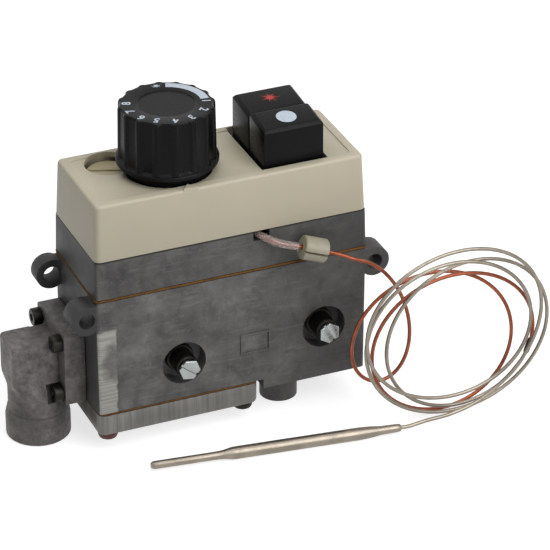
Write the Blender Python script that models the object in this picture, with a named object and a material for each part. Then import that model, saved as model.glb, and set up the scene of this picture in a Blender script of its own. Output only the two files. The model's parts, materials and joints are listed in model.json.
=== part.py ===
"""A thermostatic gas control valve for a boiler or heater, as the pieces it is built from.

Two die castings are bolted over each other and closed by a moulded cover. The cover carries the
temperature knob and the two push buttons. An inlet elbow is screwed to the left end, and a
capillary with its sensing bulb leaves from under the cover. All sizes below are in millimetres.
The front of the valve looks towards -Y, its length runs along X, and the floor is at z = 0.
"""

import math

import bmesh
import bpy
import numpy as np
from mathutils import Matrix, Vector

MM = 0.001
GAP = 0.3  # clearance between pieces that seat on each other
WELD_DISTANCE = 0.01  # corners nearer than this are one corner after a cut

# ---- castings and cover -----------------------------------------------------------------------
BODY_LENGTH = 110.0
BODY_DEPTH = 44.4
BODY_CORNER = 1.6
CASTING_FLARE = 0.35  # the castings widen by this much towards the joint between them
LOWER_BOTTOM_Z = 14.6
JOINT_Z = 67.4  # top of the lower casting
MAIN_GASKET = 0.8
COVER_Z = 84.5  # joint between upper casting and cover
UPPER_WALL = 4.6
UPPER_FLOOR = 3.9
COVER_HEIGHT = 23.0
COVER_WALL = 2.0
COVER_DRAFT = 0.95
COVER_CORNER = 2.4
COVER_FILLET = 1.2
PANEL_MARGIN = 4.6  # width of the raised border round the sunken panel of the cover
PANEL_DEPTH = 0.4

# ---- knob -------------------------------------------------------------------------------------
KNOB_X = -17.2
KNOB_Y = 0.0
KNOB_LIFT = 1.0  # underside of the knob above the cover
KNOB_HEIGHT = 25.2
KNOB_TOP_RADIUS = 18.4
KNOB_FOOT_RADIUS = 19.3
KNOB_RIM = 2.1  # height of the plain rim round the foot
KNOB_RIM_LIFT = 2.9  # lower edge of the rim above the knob's underside
KNOB_SKIRT = 3.2  # reach of the skirt below that, through the cover's hole
KNOB_SKIRT_GAP = 0.5
KNOB_FLUTES = 16
KNOB_FLUTE_DEPTH = 0.9
KNOB_FLUTE_PHASE = math.radians(-101.4)
KNOB_WALL = 2.4
KNOB_DISH_RADIUS = 10.8
KNOB_DISH_DEPTH = 0.5
KNOB_HUB_RADIUS = 6.0
KNOB_OPENING_RADIUS = 17.4
SPINDLE_RADIUS = 3.4
SPINDLE_COLLAR_RADIUS = 7.5
SPINDLE_COLLAR = 2.5
POINTER_WIDTH = 3.6
POINTER_HEIGHT = 0.5

# ---- adjusting disc under the access hole -----------------------------------------------------
ADJUSTER_X = -37.2
ADJUSTER_Y = 10.5
ACCESS_RADIUS = 9.0
ADJUSTER_RADIUS = 8.4
ADJUSTER_DEPTH = 3.2  # top of the disc below the cover's top
ADJUSTER_THICKNESS = 2.6
ADJUSTER_SLOT = 1.4
ADJUSTER_STEM_RADIUS = 2.6

# ---- push buttons -----------------------------------------------------------------------------
BUTTON_X = 27.4
BUTTON_WIDTH = 24.4
BUTTON_BACK_Y = 14.7
BUTTON_SPLIT_Y = -2.0
BUTTON_FRONT_Y = -16.5
BUTTON_SPLIT_GAP = 0.6
BUTTON_RISE = 17.0  # back edge of a button's top above the cover
BUTTON_SLOPE = 1.6  # fall of a button's top from back to front
BUTTON_CHAMFER = 1.3
BUTTON_WALL = 1.8
BUTTON_SKIRT = 9.0  # part of a button that stays below the cover's top at rest
BUTTON_EAR = 0.9  # reach of a button's ears under the cover's edge
BUTTON_EAR_THICKNESS = 2.0
BUTTON_HUB_RADIUS = 5.0
OPENING_LEFT = 0.9
OPENING_RIGHT = 1.6
OPENING_FRONT = 1.0
OPENING_BACK = 5.0
STEM_RADIUS = 2.2
IGNITION_STEM = (32.6, 7.4)
OFF_STEM = (23.5, -9.4)
IGNITION_TRAVEL = 7.0
OFF_TRAVEL = 5.0
SPRING_RADIUS = 4.2
SPRING_WIRE = 0.8
SPRING_TURNS = 6

# ---- mounting lugs ----------------------------------------------------------------------------
LUG_REACH = 3.9  # distance of each lug's axis from the end of the body
LUG_Z = 60.7
LUG_RADIUS = 6.1
LUG_HOLE_RADIUS = 3.2
LUG_LENGTH = 9.0
LUG_BACK_LENGTH = 6.5
LUG_BACK_PROUD = 0.8  # the back lugs stand this far behind the casting

# ---- bottom plate -----------------------------------------------------------------------------
PLATE_RIGHT_X = 10.5
PLATE_SIDE_GAP = 2.0
PLATE_SEAT_Z = 18.65
PLATE_GASKET = 0.6
PLATE_THICKNESS = 8.9
PLATE_CORNER = 3.2
PLATE_EDGE = 0.9
PLATE_SCREW_INSET = 4.9
PLATE_BACK_SCREW_INSET = 12.0
PLATE_HEAD_RADIUS = 3.9
PLATE_HEAD_HEIGHT = 2.9
PLATE_SHANK_RADIUS = 2.0
PLATE_SCREW_GRIP = 9.0

# ---- inlet elbow and its flange ---------------------------------------------------------------
PORT_Y = 5.6
PORT_Z = 32.8
FLANGE_THICKNESS = 8.2
FLANGE_WIDTH = 30.0
FLANGE_HEIGHT = 31.6
FLANGE_CORNER = 2.2
FLANGE_SCREW_PITCH = 22.0
ELBOW_TOP_Z = 42.2
ELBOW_BOX_LENGTH = 18.35  # reach of the elbow's box past its flange
ELBOW_BOX_DEPTH = 17.4
ELBOW_BOX_BOTTOM_Z = 27.5
ELBOW_NECK_Z = (20.5, 13.9)
ELBOW_NECK_RADIUS = 11.4
ELBOW_BOSS_REACH = 6.45  # the port's axis lies this far past the flange
ELBOW_BOSS_RADIUS = 12.6
ELBOW_BOSS_TOP_Z = 8.9
PORT_THREAD_RADIUS = 8.3
PORT_THREAD_DEPTH = 12.0
PASSAGE_RADIUS = 6.0
RISER_RADIUS = 6.6
O_RING_RADIUS = 9.2
O_RING_THICKNESS = 1.7
SOCKET_HEAD_RADIUS = 3.5
SOCKET_HEAD_HEIGHT = 3.6
SOCKET_SHANK_RADIUS = 1.9
SOCKET_SCREW_GRIP = 7.0

# ---- outlet pad -------------------------------------------------------------------------------
PAD_PROUD = 0.8
TAPPED_HOLE_RADIUS = 1.7
TAPPED_HOLE_DEPTH = 8.0

# ---- pressure test points ---------------------------------------------------------------------
TEST_POINTS = ((-20.3, 33.9), (37.6, 36.7))  # x and z of the two test points on the front
TEST_RECESS_RADIUS = 8.9
TEST_RECESS_DEPTH = 6.0
NIPPLE_RADIUS = 4.5
NIPPLE_FOOT_RADIUS = 5.6
NIPPLE_FOOT = 1.6
NIPPLE_PROUD = 4.1
NIPPLE_THREAD_RADIUS = 3.3
NIPPLE_THREAD = 5.0
NIPPLE_BORE_RADIUS = 2.5
TEST_HEX_FLATS = 7.6
TEST_HEX_HEIGHT = 1.9
TEST_SHANK_RADIUS = 2.1
TEST_SLOT_WIDTH = 0.9
TEST_SLOT_TURNS = (math.radians(-39.0), math.radians(-61.0))

# ---- bosses under the right end, and what sits behind them -------------------------------------
PILOT_BOSS = (26.0, -4.7)
PILOT_BOSS_RADIUS = 7.4
PILOT_BORE_RADIUS = 3.6
PILOT_BORE_DEPTH = 9.0
SENSOR_BOSS_RADIUS = 6.0
SENSOR_BORE_RADIUS = 3.8
MAGNET_RADIUS = 7.6
MAGNET_BOTTOM_Z = 24.0
MAGNET_HEIGHT = 24.0
MAGNET_WAIST_RADIUS = 4.0
MAGNET_WAIST = 3.0
MAGNET_CAP_RADIUS = 6.4
MAGNET_CAP = 2.0
OFF_BORE_DEPTH = 14.0
VALVE_CHAMBER_RADIUS = 11.0
VALVE_CHAMBER_TOP_Z = 50.0
VALVE_DISC_RADIUS = 7.5
VALVE_DISC_THICKNESS = 3.0
VALVE_ROD_RADIUS = 1.3
VALVE_SPRING_RADIUS = 5.4
VALVE_SPRING_TURNS = 5

# ---- screws that hold the castings together ---------------------------------------------------
BODY_SCREW_INSET = 8.6
BODY_HEAD_RADIUS = 3.0
BODY_HEAD_HEIGHT = 2.6
BODY_SHANK_RADIUS = 1.7
BODY_SCREW_GRIP = 10.0

# ---- capillary, bush and sensing bulb ---------------------------------------------------------
BELLOWS_RADIUS = 11.0
BELLOWS_HEIGHT = 7.6
BELLOWS_FOLDS = 3
NOTCH_X = (8.4, 15.0)
NOTCH_DEPTH = 4.0
TUBE_DIAMETER = 1.5
SLEEVE_DIAMETER = 3.0
BUSH_DIAMETER = 9.5
JOINT_DIAMETER = 2.3
BULB_DIAMETER = 5.0
BULB_TIP_DIAMETER = 3.2
BULB_NECK_DIAMETER = 3.0
TURN_POINTS = 24

# The tube inside the casting, from the bellows to the notch, then its free route past the bush.
INNER_ROUTE = ((-7.5, -5.8, 77.0), (-3.0, -8.5, 77.0), (3.6, -12.0, 79.9))
BUSH_START = (25.7, -28.4, 77.5)
BUSH_END = (34.9, -29.4, 74.2)
LEAD_ROUTE = (
    (9.9, -16.6, 82.3),
    (10.9, -20.2, 82.25),
    (12.2, -22.9, 82.0),
    (15.4, -25.6, 80.7),
    (20.0, -27.4, 79.1),
    BUSH_START,
    BUSH_END,
    (41.6, -30.5, 71.5),
)
# One row for each whole turn of the wound tube: middle x and z, half width and half height.
TURNS = (
    (45.0, 48.5, 13.0, 20.5),
    (75.5, 31.5, 29.0, 29.0),
    (82.0, 31.5, 32.5, 29.0),
    (88.5, 34.5, 34.5, 32.0),
    (78.5, 35.5, 36.5, 33.0),
    (78.5, 44.5, 35.5, 30.0),
    (77.5, 45.5, 51.5, 55.0),
)
TURN_DEPTHS = ((0.0, -31.5), (0.5, -34.5), (1.5, -42.2), (5.5, -51.0))  # turn number and y
COPPER_TURNS = (0.04, 2.28)
STEEL_TURNS = (2.335, 5.35)
TAIL_ROUTE = ((102.4, -50.9, 13.6), (91.4, -51.1, 6.7), (79.5, -51.3, 3.5), (69.0, -51.4, 3.0))
BULB_START = (57.6, -51.4, 2.5)
BULB_END = (-41.0, -39.0, 2.5)
# Profile of the bulb: share of its length from the tube's end, and its diameter there.
BULB_PROFILE = (
    (0.0, BULB_NECK_DIAMETER),
    (0.015, BULB_NECK_DIAMETER + 0.3),
    (0.075, BULB_NECK_DIAMETER + 0.5),
    (0.135, BULB_DIAMETER - 0.2),
    (0.17, BULB_DIAMETER),
    (0.67, BULB_DIAMETER),
    (0.72, BULB_TIP_DIAMETER + 0.2),
    (0.76, BULB_TIP_DIAMETER),
    (0.99, BULB_TIP_DIAMETER),
    (1.0, BULB_TIP_DIAMETER - 0.8),
)

# ---- values that follow from the sizes above --------------------------------------------------
HALF_LENGTH = BODY_LENGTH / 2
HALF_DEPTH = BODY_DEPTH / 2
COVER_TOP_Z = COVER_Z + COVER_HEIGHT
UPPER_BOTTOM_Z = JOINT_Z + GAP + MAIN_GASKET + GAP
POCKET_FLOOR_Z = UPPER_BOTTOM_Z + UPPER_FLOOR
PLATE_TOP_Z = PLATE_SEAT_Z - GAP - PLATE_GASKET - GAP
PLATE_BOTTOM_Z = PLATE_TOP_Z - PLATE_THICKNESS
FLANGE_FACE_X = -HALF_LENGTH - CASTING_FLARE - GAP
FLANGE_LEFT_X = FLANGE_FACE_X - FLANGE_THICKNESS
FRONT_Y = -HALF_DEPTH
ELBOW_BOX_LEFT_X = FLANGE_LEFT_X - ELBOW_BOX_LENGTH
ELBOW_BOSS_X = FLANGE_LEFT_X - ELBOW_BOSS_REACH
LUG_X = HALF_LENGTH + LUG_REACH
KNOB_BASE_Z = COVER_TOP_Z + KNOB_LIFT
LUG_BACK_Y = HALF_DEPTH + CASTING_FLARE + LUG_BACK_PROUD
LEFT_X = min(ELBOW_BOSS_X - ELBOW_BOSS_RADIUS, ELBOW_BOX_LEFT_X)
RIGHT_X = LUG_X + LUG_RADIUS
FOREMOST_Y = FRONT_Y - NIPPLE_PROUD - GAP - TEST_HEX_HEIGHT

for old in list(bpy.data.objects):
    bpy.data.objects.remove(old)

# The part's origin is under the middle of its box, so the valve is shifted there as a whole.
valve = bpy.data.objects.new("valve", None)
valve.location = Vector((-(LEFT_X + RIGHT_X) / 2, -(FOREMOST_Y + LUG_BACK_Y) / 2, 0)) * MM
bpy.context.scene.collection.objects.link(valve)


# ---- materials --------------------------------------------------------------------------------
def material(name, colour, roughness, metallic=0.0):
    made = bpy.data.materials.new(name)
    made.use_nodes = True
    shader = made.node_tree.nodes["Principled BSDF"]
    shader.inputs["Base Color"].default_value = (*colour, 1.0)
    shader.inputs["Roughness"].default_value = roughness
    shader.inputs["Metallic"].default_value = metallic
    return made


BEIGE_ABS = material("beige_abs", (0.44, 0.40, 0.31), 0.55)
BLACK_PLASTIC = material("black_plastic", (0.015, 0.015, 0.018), 0.35)
IVORY_PLASTIC = material("ivory_plastic", (0.60, 0.54, 0.38), 0.5)
DIE_CAST = material("die_cast_aluminium", (0.11, 0.11, 0.115), 0.55, 0.6)
ELBOW_ALUMINIUM = material("elbow_aluminium", (0.13, 0.12, 0.105), 0.6, 0.6)
PLATE_ALUMINIUM = material("plate_aluminium", (0.16, 0.16, 0.15), 0.45, 0.7)
GASKET_FIBRE = material("gasket_fibre", (0.25, 0.12, 0.04), 0.8)
BLACK_STEEL = material("black_steel", (0.03, 0.03, 0.03), 0.45, 0.8)
ZINC_STEEL = material("zinc_plated_steel", (0.55, 0.58, 0.58), 0.3, 1.0)
SPRING_STEEL = material("spring_steel", (0.35, 0.35, 0.36), 0.35, 1.0)
BRASS = material("brass", (0.50, 0.36, 0.14), 0.35, 1.0)
COPPER = material("copper", (0.40, 0.14, 0.08), 0.3, 1.0)
STAINLESS = material("stainless_steel", (0.33, 0.30, 0.26), 0.35, 1.0)
BLACK_RUBBER = material("black_rubber", (0.02, 0.02, 0.02), 0.8)
CLEAR_TUBE = material("clear_tube", (0.70, 0.62, 0.60), 0.25)
NYLON = material("nylon", (0.60, 0.56, 0.40), 0.4)


# ---- building helpers -------------------------------------------------------------------------
def to_object(name, bm, finish=None, origin=(0, 0, 0), turn=(0, 0, 0), sharp_over=35.0):
    """Makes an object of a mesh drawn in millimetres round its own origin."""
    bmesh.ops.recalc_face_normals(bm, faces=bm.faces)
    bmesh.ops.scale(bm, vec=(MM, MM, MM), verts=bm.verts)
    mesh = bpy.data.meshes.new(name)
    bm.to_mesh(mesh)
    bm.free()
    mesh.shade_smooth()
    mesh.set_sharp_from_angle(angle=math.radians(sharp_over))
    if finish:
        mesh.materials.append(finish)
    made = bpy.data.objects.new(name, mesh)
    bpy.context.scene.collection.objects.link(made)
    made.location = Vector(origin) * MM
    made.rotation_euler = turn
    made.parent = valve
    return made


def combine(target, tools, operation="DIFFERENCE"):
    """Cuts all the tools out of the target, or joins them on, with one exact Boolean."""
    group = bpy.data.collections.new(f"{target.name} {operation.lower()}")
    for tool in tools:
        group.objects.link(tool)
        tool.hide_render = True
        tool.display_type = "WIRE"
    modifier = target.modifiers.new(operation.lower(), "BOOLEAN")
    modifier.operation = operation
    modifier.solver = "EXACT"
    modifier.operand_type = "COLLECTION"
    modifier.collection = group
    weld = target.modifiers.new("weld", "WELD")
    weld.merge_threshold = WELD_DISTANCE * MM


def rounded(half_x, half_y, radius, steps=4):
    """Outline of a rectangle with round corners, anticlockwise from the +X side."""
    points = []
    for corner, (sign_x, sign_y) in enumerate(((1, 1), (-1, 1), (-1, -1), (1, -1))):
        for step in range(steps + 1):
            angle = math.pi / 2 * (corner + step / steps)
            x = sign_x * (half_x - radius) + radius * math.cos(angle)
            y = sign_y * (half_y - radius) + radius * math.sin(angle)
            points.append((x, y))
    return points


def loft(sections):
    """Skins a row of closed sections with equal point counts, and caps both ends."""
    bm = bmesh.new()
    rings = [[bm.verts.new(point) for point in section] for section in sections]
    for lower, upper in zip(rings, rings[1:]):
        for i in range(len(lower)):
            j = (i + 1) % len(lower)
            bm.faces.new((lower[i], lower[j], upper[j], upper[i]))
    bm.faces.new(reversed(rings[0]))
    bm.faces.new(rings[-1])
    return bm


def prism(outline, z0, z1, chamfer=0.0):
    """An outline pulled up from z0 to z1, with both rims chamfered if asked."""
    def ring(inset, z):
        count = len(outline)
        moved = []
        for i in range(count):
            here = Vector(outline[i])
            along = (Vector(outline[(i + 1) % count]) - Vector(outline[i - 1])).normalized()
            moved.append((here.x - along.y * inset, here.y + along.x * inset, z))
        return moved

    if chamfer:
        return loft([ring(chamfer, z0), ring(0, z0 + chamfer), ring(0, z1 - chamfer), ring(chamfer, z1)])
    return loft([ring(0, z0), ring(0, z1)])


def turned(profile, steps=32, closed=False):
    """Turns (radius, z) points about Z: a profile between two points on the axis, or a closed one."""
    bm = bmesh.new()
    verts = [bm.verts.new((radius, 0, z)) for radius, z in profile]
    pairs = zip(verts, verts[1:] + verts[:1]) if closed else zip(verts, verts[1:])
    edges = [bm.edges.new(pair) for pair in pairs]
    bmesh.ops.spin(
        bm,
        geom=verts + edges,
        axis=(0, 0, 1),
        cent=(0, 0, 0),
        angle=2 * math.pi,
        steps=steps,
        use_duplicate=False,
    )
    bmesh.ops.remove_doubles(bm, verts=bm.verts, dist=0.001)
    return bm


def rod(radius, z0, z1, steps=24, chamfer=0.0):
    """A round bar along Z, with its rims chamfered if asked."""
    if chamfer:
        side = [(radius - chamfer, z0), (radius, z0 + chamfer), (radius, z1 - chamfer), (radius - chamfer, z1)]
    else:
        side = [(radius, z0), (radius, z1)]
    return turned([(0, z0), *side, (0, z1)], steps)


def box(x, y, z):
    """A plain block between two corners, given as a pair for each axis."""
    return loft([[(x[0], y[0], h), (x[1], y[0], h), (x[1], y[1], h), (x[0], y[1], h)] for h in z])


def cylinder_tool(name, radius, start, end, steps=20):
    """A round cutter or joining piece from one point to another along X, Y or Z."""
    start, end = Vector(start), Vector(end)
    turn = (end - start).to_track_quat("Z", "Y").to_euler()
    return to_object(name, rod(radius, 0, (end - start).length, steps), None, start, turn)


def smooth_route(points, spacing):
    """Points on a smooth curve through the route, a given distance apart."""
    points = [Vector(p) for p in points]
    padded = [2 * points[0] - points[1], *points, 2 * points[-1] - points[-2]]
    fine = []
    for a, b, c, d in zip(padded, padded[1:], padded[2:], padded[3:]):
        for step in range(20):
            u = step / 20
            fine.append(
                0.5
                * (
                    2 * b
                    + (c - a) * u
                    + (2 * a - 5 * b + 4 * c - d) * u * u
                    + (3 * b - a - 3 * c + d) * u**3
                )
            )
    fine.append(points[-1])
    lengths = np.cumsum([0.0] + [(q - p).length for p, q in zip(fine, fine[1:])])
    count = max(2, round(lengths[-1] / spacing) + 1)
    table = np.array([tuple(p) for p in fine])
    wanted = np.linspace(0.0, lengths[-1], count)
    return [tuple(np.interp(s, lengths, table[:, axis]) for axis in range(3)) for s in wanted]


def tube(name, points, diameter, finish, resolution=2):
    """A round tube along the points, with closed ends."""
    curve = bpy.data.curves.new(name, "CURVE")
    curve.dimensions = "3D"
    curve.bevel_depth = diameter / 2 * MM
    curve.bevel_resolution = resolution
    curve.use_fill_caps = True
    spline = curve.splines.new("POLY")
    spline.points.add(len(points) - 1)
    for slot, point in zip(spline.points, points):
        slot.co = (*(Vector(point) * MM), 1.0)
    spline.use_smooth = True
    if finish:
        curve.materials.append(finish)
    made = bpy.data.objects.new(name, curve)
    bpy.context.scene.collection.objects.link(made)
    made.parent = valve
    return made


def spring(name, axis, z0, z1, radius, wire, turns, points_per_turn=8):
    """A compression spring along Z, wound at an even pitch."""
    count = turns * points_per_turn
    points = []
    for i in range(count + 1):
        angle = 2 * math.pi * i / points_per_turn
        height = z0 + wire / 2 + (z1 - z0 - wire) * i / count
        points.append((axis[0] + radius * math.cos(angle), axis[1] + radius * math.sin(angle), height))
    return tube(name, points, wire, SPRING_STEEL, 1)


def hose(points, outer, inner=0.0, steps=16):
    """A round bar of mesh along some points, or a pipe where an inner diameter is given."""
    points = [Vector(p) for p in points]
    normal = Vector((0, 0, 1))
    outside, inside = [], []
    for i, here in enumerate(points):
        along = (points[min(i + 1, len(points) - 1)] - points[max(i - 1, 0)]).normalized()
        normal = (normal - along * normal.dot(along)).normalized()
        across = along.cross(normal)
        for rings, diameter in ((outside, outer), (inside, inner)):
            ring = []
            for k in range(steps):
                angle = 2 * math.pi * k / steps
                offset = normal * math.cos(angle) + across * math.sin(angle)
                ring.append(here + offset * diameter / 2)
            rings.append(ring)
    if not inner:
        return loft(outside)
    bm = bmesh.new()
    rings = [[bm.verts.new(p) for p in ring] for ring in (*outside, *reversed(inside))]
    for near, far in zip(rings, rings[1:] + rings[:1]):
        for k in range(steps):
            j = (k + 1) % steps
            bm.faces.new((near[k], near[j], far[j], far[k]))
    return bm


# ---- cover ------------------------------------------------------------------------------------
def cover():
    base_z = COVER_Z + GAP / 2
    fillet_z = COVER_TOP_Z - COVER_FILLET
    slope = COVER_DRAFT / COVER_HEIGHT

    def outline(inset, z):
        half_x, half_y = HALF_LENGTH - inset, HALF_DEPTH - inset
        return [(x, y, z) for x, y in rounded(half_x, half_y, COVER_CORNER - inset)]

    sections = [outline(0, base_z)]
    for step in range(4):
        angle = math.pi / 6 * step
        inset = slope * (fillet_z - base_z) + COVER_FILLET * (1 - math.cos(angle))
        sections.append(outline(inset, fillet_z + COVER_FILLET * math.sin(angle)))
    shell = to_object("cover", loft(sections), BEIGE_ABS)

    def cavity_outline(z):
        inset = COVER_WALL + slope * (z - base_z)
        half_x, half_y = HALF_LENGTH - inset, HALF_DEPTH - inset
        return [(x, y, z) for x, y in rounded(half_x, half_y, COVER_CORNER)]

    ceiling_z = COVER_TOP_Z - COVER_WALL
    cavity = to_object("cover_cavity", loft([cavity_outline(base_z - 1), cavity_outline(ceiling_z)]))
    panel = to_object(
        "cover_panel",
        prism(
            rounded(HALF_LENGTH - PANEL_MARGIN, HALF_DEPTH - PANEL_MARGIN, COVER_CORNER),
            COVER_TOP_Z - PANEL_DEPTH,
            COVER_TOP_Z + 1,
        ),
    )
    above, below = COVER_TOP_Z + 2, ceiling_z - 1
    knob_hole = cylinder_tool(
        "knob_opening", KNOB_OPENING_RADIUS, (KNOB_X, KNOB_Y, below), (KNOB_X, KNOB_Y, above), 48
    )
    access_hole = cylinder_tool(
        "access_opening", ACCESS_RADIUS, (ADJUSTER_X, ADJUSTER_Y, below), (ADJUSTER_X, ADJUSTER_Y, above), 32
    )
    opening = to_object("button_opening", box(OPENING_X, OPENING_Y, (below, above)))
    front_edge_y = -HALF_DEPTH + COVER_DRAFT + COVER_FILLET
    pointer_back_y = KNOB_Y - KNOB_OPENING_RADIUS - 0.6
    pointer_z = (COVER_TOP_Z - PANEL_DEPTH - 0.5, COVER_TOP_Z + POINTER_HEIGHT)
    pointer_outline = (
        (KNOB_X - POINTER_WIDTH / 2, front_edge_y),
        (KNOB_X + POINTER_WIDTH / 2, front_edge_y),
        (KNOB_X, pointer_back_y),
    )
    pointer = to_object("cover_pointer", prism(pointer_outline, *pointer_z))
    combine(shell, [cavity, panel])
    combine(shell, [pointer], "UNION")
    combine(shell, [knob_hole, access_hole, opening])


# ---- knob, spindle and adjuster ---------------------------------------------------------------
def knob_ring(radius, flute_depth, z, count=KNOB_FLUTES * 4):
    """One level of the knob: wide shallow flutes that meet in narrow crests."""
    ring = []
    for i in range(count):
        angle = 2 * math.pi * i / count
        wave = abs(math.sin(KNOB_FLUTES / 2 * angle))
        here = radius - flute_depth * wave**0.8
        turn = angle + KNOB_FLUTE_PHASE
        ring.append((here * math.cos(turn), here * math.sin(turn), z))
    return ring


def knob():
    rim_top = KNOB_RIM_LIFT + KNOB_RIM
    skirt = KNOB_OPENING_RADIUS - KNOB_SKIRT_GAP
    foot = KNOB_FOOT_RADIUS
    waist = KNOB_TOP_RADIUS + 0.3
    sections = [
        knob_ring(skirt, 0, -KNOB_SKIRT),
        knob_ring(skirt, 0, KNOB_RIM_LIFT - 0.7),
        knob_ring(foot - 0.3, 0, KNOB_RIM_LIFT),
        knob_ring(foot, 0, KNOB_RIM_LIFT + 0.4),
        knob_ring(foot, 0, rim_top),
        knob_ring(waist, KNOB_FLUTE_DEPTH * 0.9, rim_top + 1.0),
        knob_ring(KNOB_TOP_RADIUS, KNOB_FLUTE_DEPTH, KNOB_HEIGHT - 0.7),
        knob_ring(KNOB_TOP_RADIUS - 0.7, KNOB_FLUTE_DEPTH * 0.7, KNOB_HEIGHT),
    ]
    cap = to_object("knob", loft(sections), BLACK_PLASTIC, (KNOB_X, KNOB_Y, KNOB_BASE_Z))
    dish = rod(KNOB_DISH_RADIUS, KNOB_HEIGHT - KNOB_DISH_DEPTH, KNOB_HEIGHT + 1, 48)
    roof = KNOB_HEIGHT - KNOB_DISH_DEPTH - KNOB_WALL
    inside = KNOB_TOP_RADIUS - KNOB_FLUTE_DEPTH - KNOB_WALL
    below = -KNOB_SKIRT - 1
    hollow = [(KNOB_HUB_RADIUS, below), (inside, below), (inside, roof), (KNOB_HUB_RADIUS, roof)]
    bore = rod(SPINDLE_RADIUS + GAP, below, KNOB_BORE_DEPTH)
    hub_end = rod(KNOB_HUB_RADIUS + 0.1, below, KNOB_HUB_LIFT)
    tools = []
    for name, shape in (
        ("knob_dish", dish),
        ("knob_hollow", turned(hollow, 32, closed=True)),
        ("knob_hub_end", hub_end),
        ("knob_bore", bore),
    ):
        tools.append(to_object(name, shape, None, (KNOB_X, KNOB_Y, KNOB_BASE_Z)))
    combine(cap, tools)


def temperature_spindle():
    base_z = BELLOWS_TOP_Z + GAP
    top_z = KNOB_BASE_Z + KNOB_BORE_DEPTH - GAP
    collar_z = base_z + SPINDLE_COLLAR
    profile = [
        (0, base_z),
        (SPINDLE_COLLAR_RADIUS, base_z),
        (SPINDLE_COLLAR_RADIUS, collar_z),
        (SPINDLE_RADIUS, collar_z),
        (SPINDLE_RADIUS, top_z - 0.6),
        (SPINDLE_RADIUS - 0.6, top_z),
        (0, top_z),
    ]
    to_object("temperature_spindle", turned(profile, 20), BRASS, (KNOB_X, KNOB_Y, 0))


def adjusting_disc():
    top_z = COVER_TOP_Z - ADJUSTER_DEPTH
    under_z = top_z - ADJUSTER_THICKNESS
    profile = [
        (0, ADJUSTER_SEAT_Z + GAP),
        (ADJUSTER_STEM_RADIUS, ADJUSTER_SEAT_Z + GAP),
        (ADJUSTER_STEM_RADIUS, under_z),
        (ADJUSTER_RADIUS, under_z),
        (ADJUSTER_RADIUS, top_z - 0.5),
        (ADJUSTER_RADIUS - 0.5, top_z),
        (0, top_z),
    ]
    disc = to_object("adjusting_disc", turned(profile, 32), IVORY_PLASTIC, (ADJUSTER_X, ADJUSTER_Y, 0))
    half_slot = ADJUSTER_SLOT / 2
    slot = box((-ADJUSTER_RADIUS, ADJUSTER_RADIUS), (-half_slot, half_slot), (top_z - 1.3, top_z + 1))
    tool = to_object("adjusting_slot", slot, None, (ADJUSTER_X, ADJUSTER_Y, 0), (0, 0, math.radians(-23)))
    combine(disc, [tool])


# ---- push buttons -----------------------------------------------------------------------------
def push_button(name, front_y, back_y, stem, travel_stop_z):
    """A hollow cap with a sloping top, a hub for its stem and ears that hold it under the cover."""
    depth, middle_y = back_y - front_y, (front_y + back_y) / 2
    base_z = COVER_TOP_Z - BUTTON_SKIRT

    def outline(inset):
        return rounded(BUTTON_WIDTH / 2 - inset, depth / 2 - inset, BUTTON_CHAMFER, 1)

    def top(y):
        return COVER_TOP_Z + BUTTON_RISE - BUTTON_SLOPE * (depth / 2 - y) / depth

    sections = [
        [(x, y, base_z) for x, y in outline(0)],
        [(x, y, top(y) - BUTTON_CHAMFER) for x, y in outline(0)],
        [(x, y, top(y)) for x, y in outline(BUTTON_CHAMFER)],
    ]
    place = (BUTTON_X, middle_y, 0)
    cap = to_object(name, loft(sections), BLACK_PLASTIC, place, sharp_over=15)
    ceiling_z = top(-depth / 2) - BUTTON_CHAMFER - BUTTON_WALL
    hollow_x = BUTTON_WIDTH / 2 - BUTTON_WALL
    hollow_y = depth / 2 - BUTTON_WALL
    hollow = box((-hollow_x, hollow_x), (-hollow_y, hollow_y), (base_z - 1, ceiling_z))
    combine(cap, [to_object(f"{name}_hollow", hollow, None, place)])
    hub = cylinder_tool(
        f"{name}_hub", BUTTON_HUB_RADIUS, (*stem, BUTTON_HUB_Z), (*stem, ceiling_z + 0.5)
    )
    ear_top = COVER_TOP_Z - COVER_WALL - GAP
    ear_z = (ear_top - BUTTON_EAR_THICKNESS, ear_top)
    ear_y = (-depth / 4, depth / 4)
    wall_x = BUTTON_WIDTH / 2 - BUTTON_WALL / 2
    left = box((OPENING_X[0] - BUTTON_EAR - BUTTON_X, -wall_x), ear_y, ear_z)
    right = box((wall_x, OPENING_X[1] + BUTTON_EAR - BUTTON_X), ear_y, ear_z)
    ears = [to_object(f"{name}_ear_{side}", ear, None, place) for side, ear in (("l", left), ("r", right))]
    combine(cap, [hub, *ears], "UNION")
    stem_top = ceiling_z - 1
    bore = cylinder_tool(
        f"{name}_bore", STEM_RADIUS + GAP, (*stem, BUTTON_HUB_Z - 1), (*stem, stem_top), 16
    )
    combine(cap, [bore])
    shaft = rod(STEM_RADIUS, travel_stop_z, stem_top - GAP, 16, 0.4)
    short = name.split("_")[0]
    to_object(f"{short}_stem", shaft, ZINC_STEEL, (*stem, 0))
    spring(
        f"{short}_spring",
        stem,
        POCKET_FLOOR_Z + GAP,
        BUTTON_HUB_Z - GAP,
        SPRING_RADIUS,
        SPRING_WIRE,
        SPRING_TURNS,
    )


# ---- castings and gaskets ---------------------------------------------------------------------
def screw_holes(prefix, spots, radius, z0, z1, steps=14):
    tools = []
    for number, (x, y) in enumerate(spots, 1):
        tools.append(cylinder_tool(f"{prefix}_{number}", radius, (x, y, z0), (x, y, z1), steps))
    return tools


def casting_sections(levels):
    sections = []
    for z, flare in levels:
        outline = rounded(HALF_LENGTH + flare, HALF_DEPTH + flare, BODY_CORNER)
        sections.append([(x, y, z) for x, y in outline])
    return sections


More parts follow.
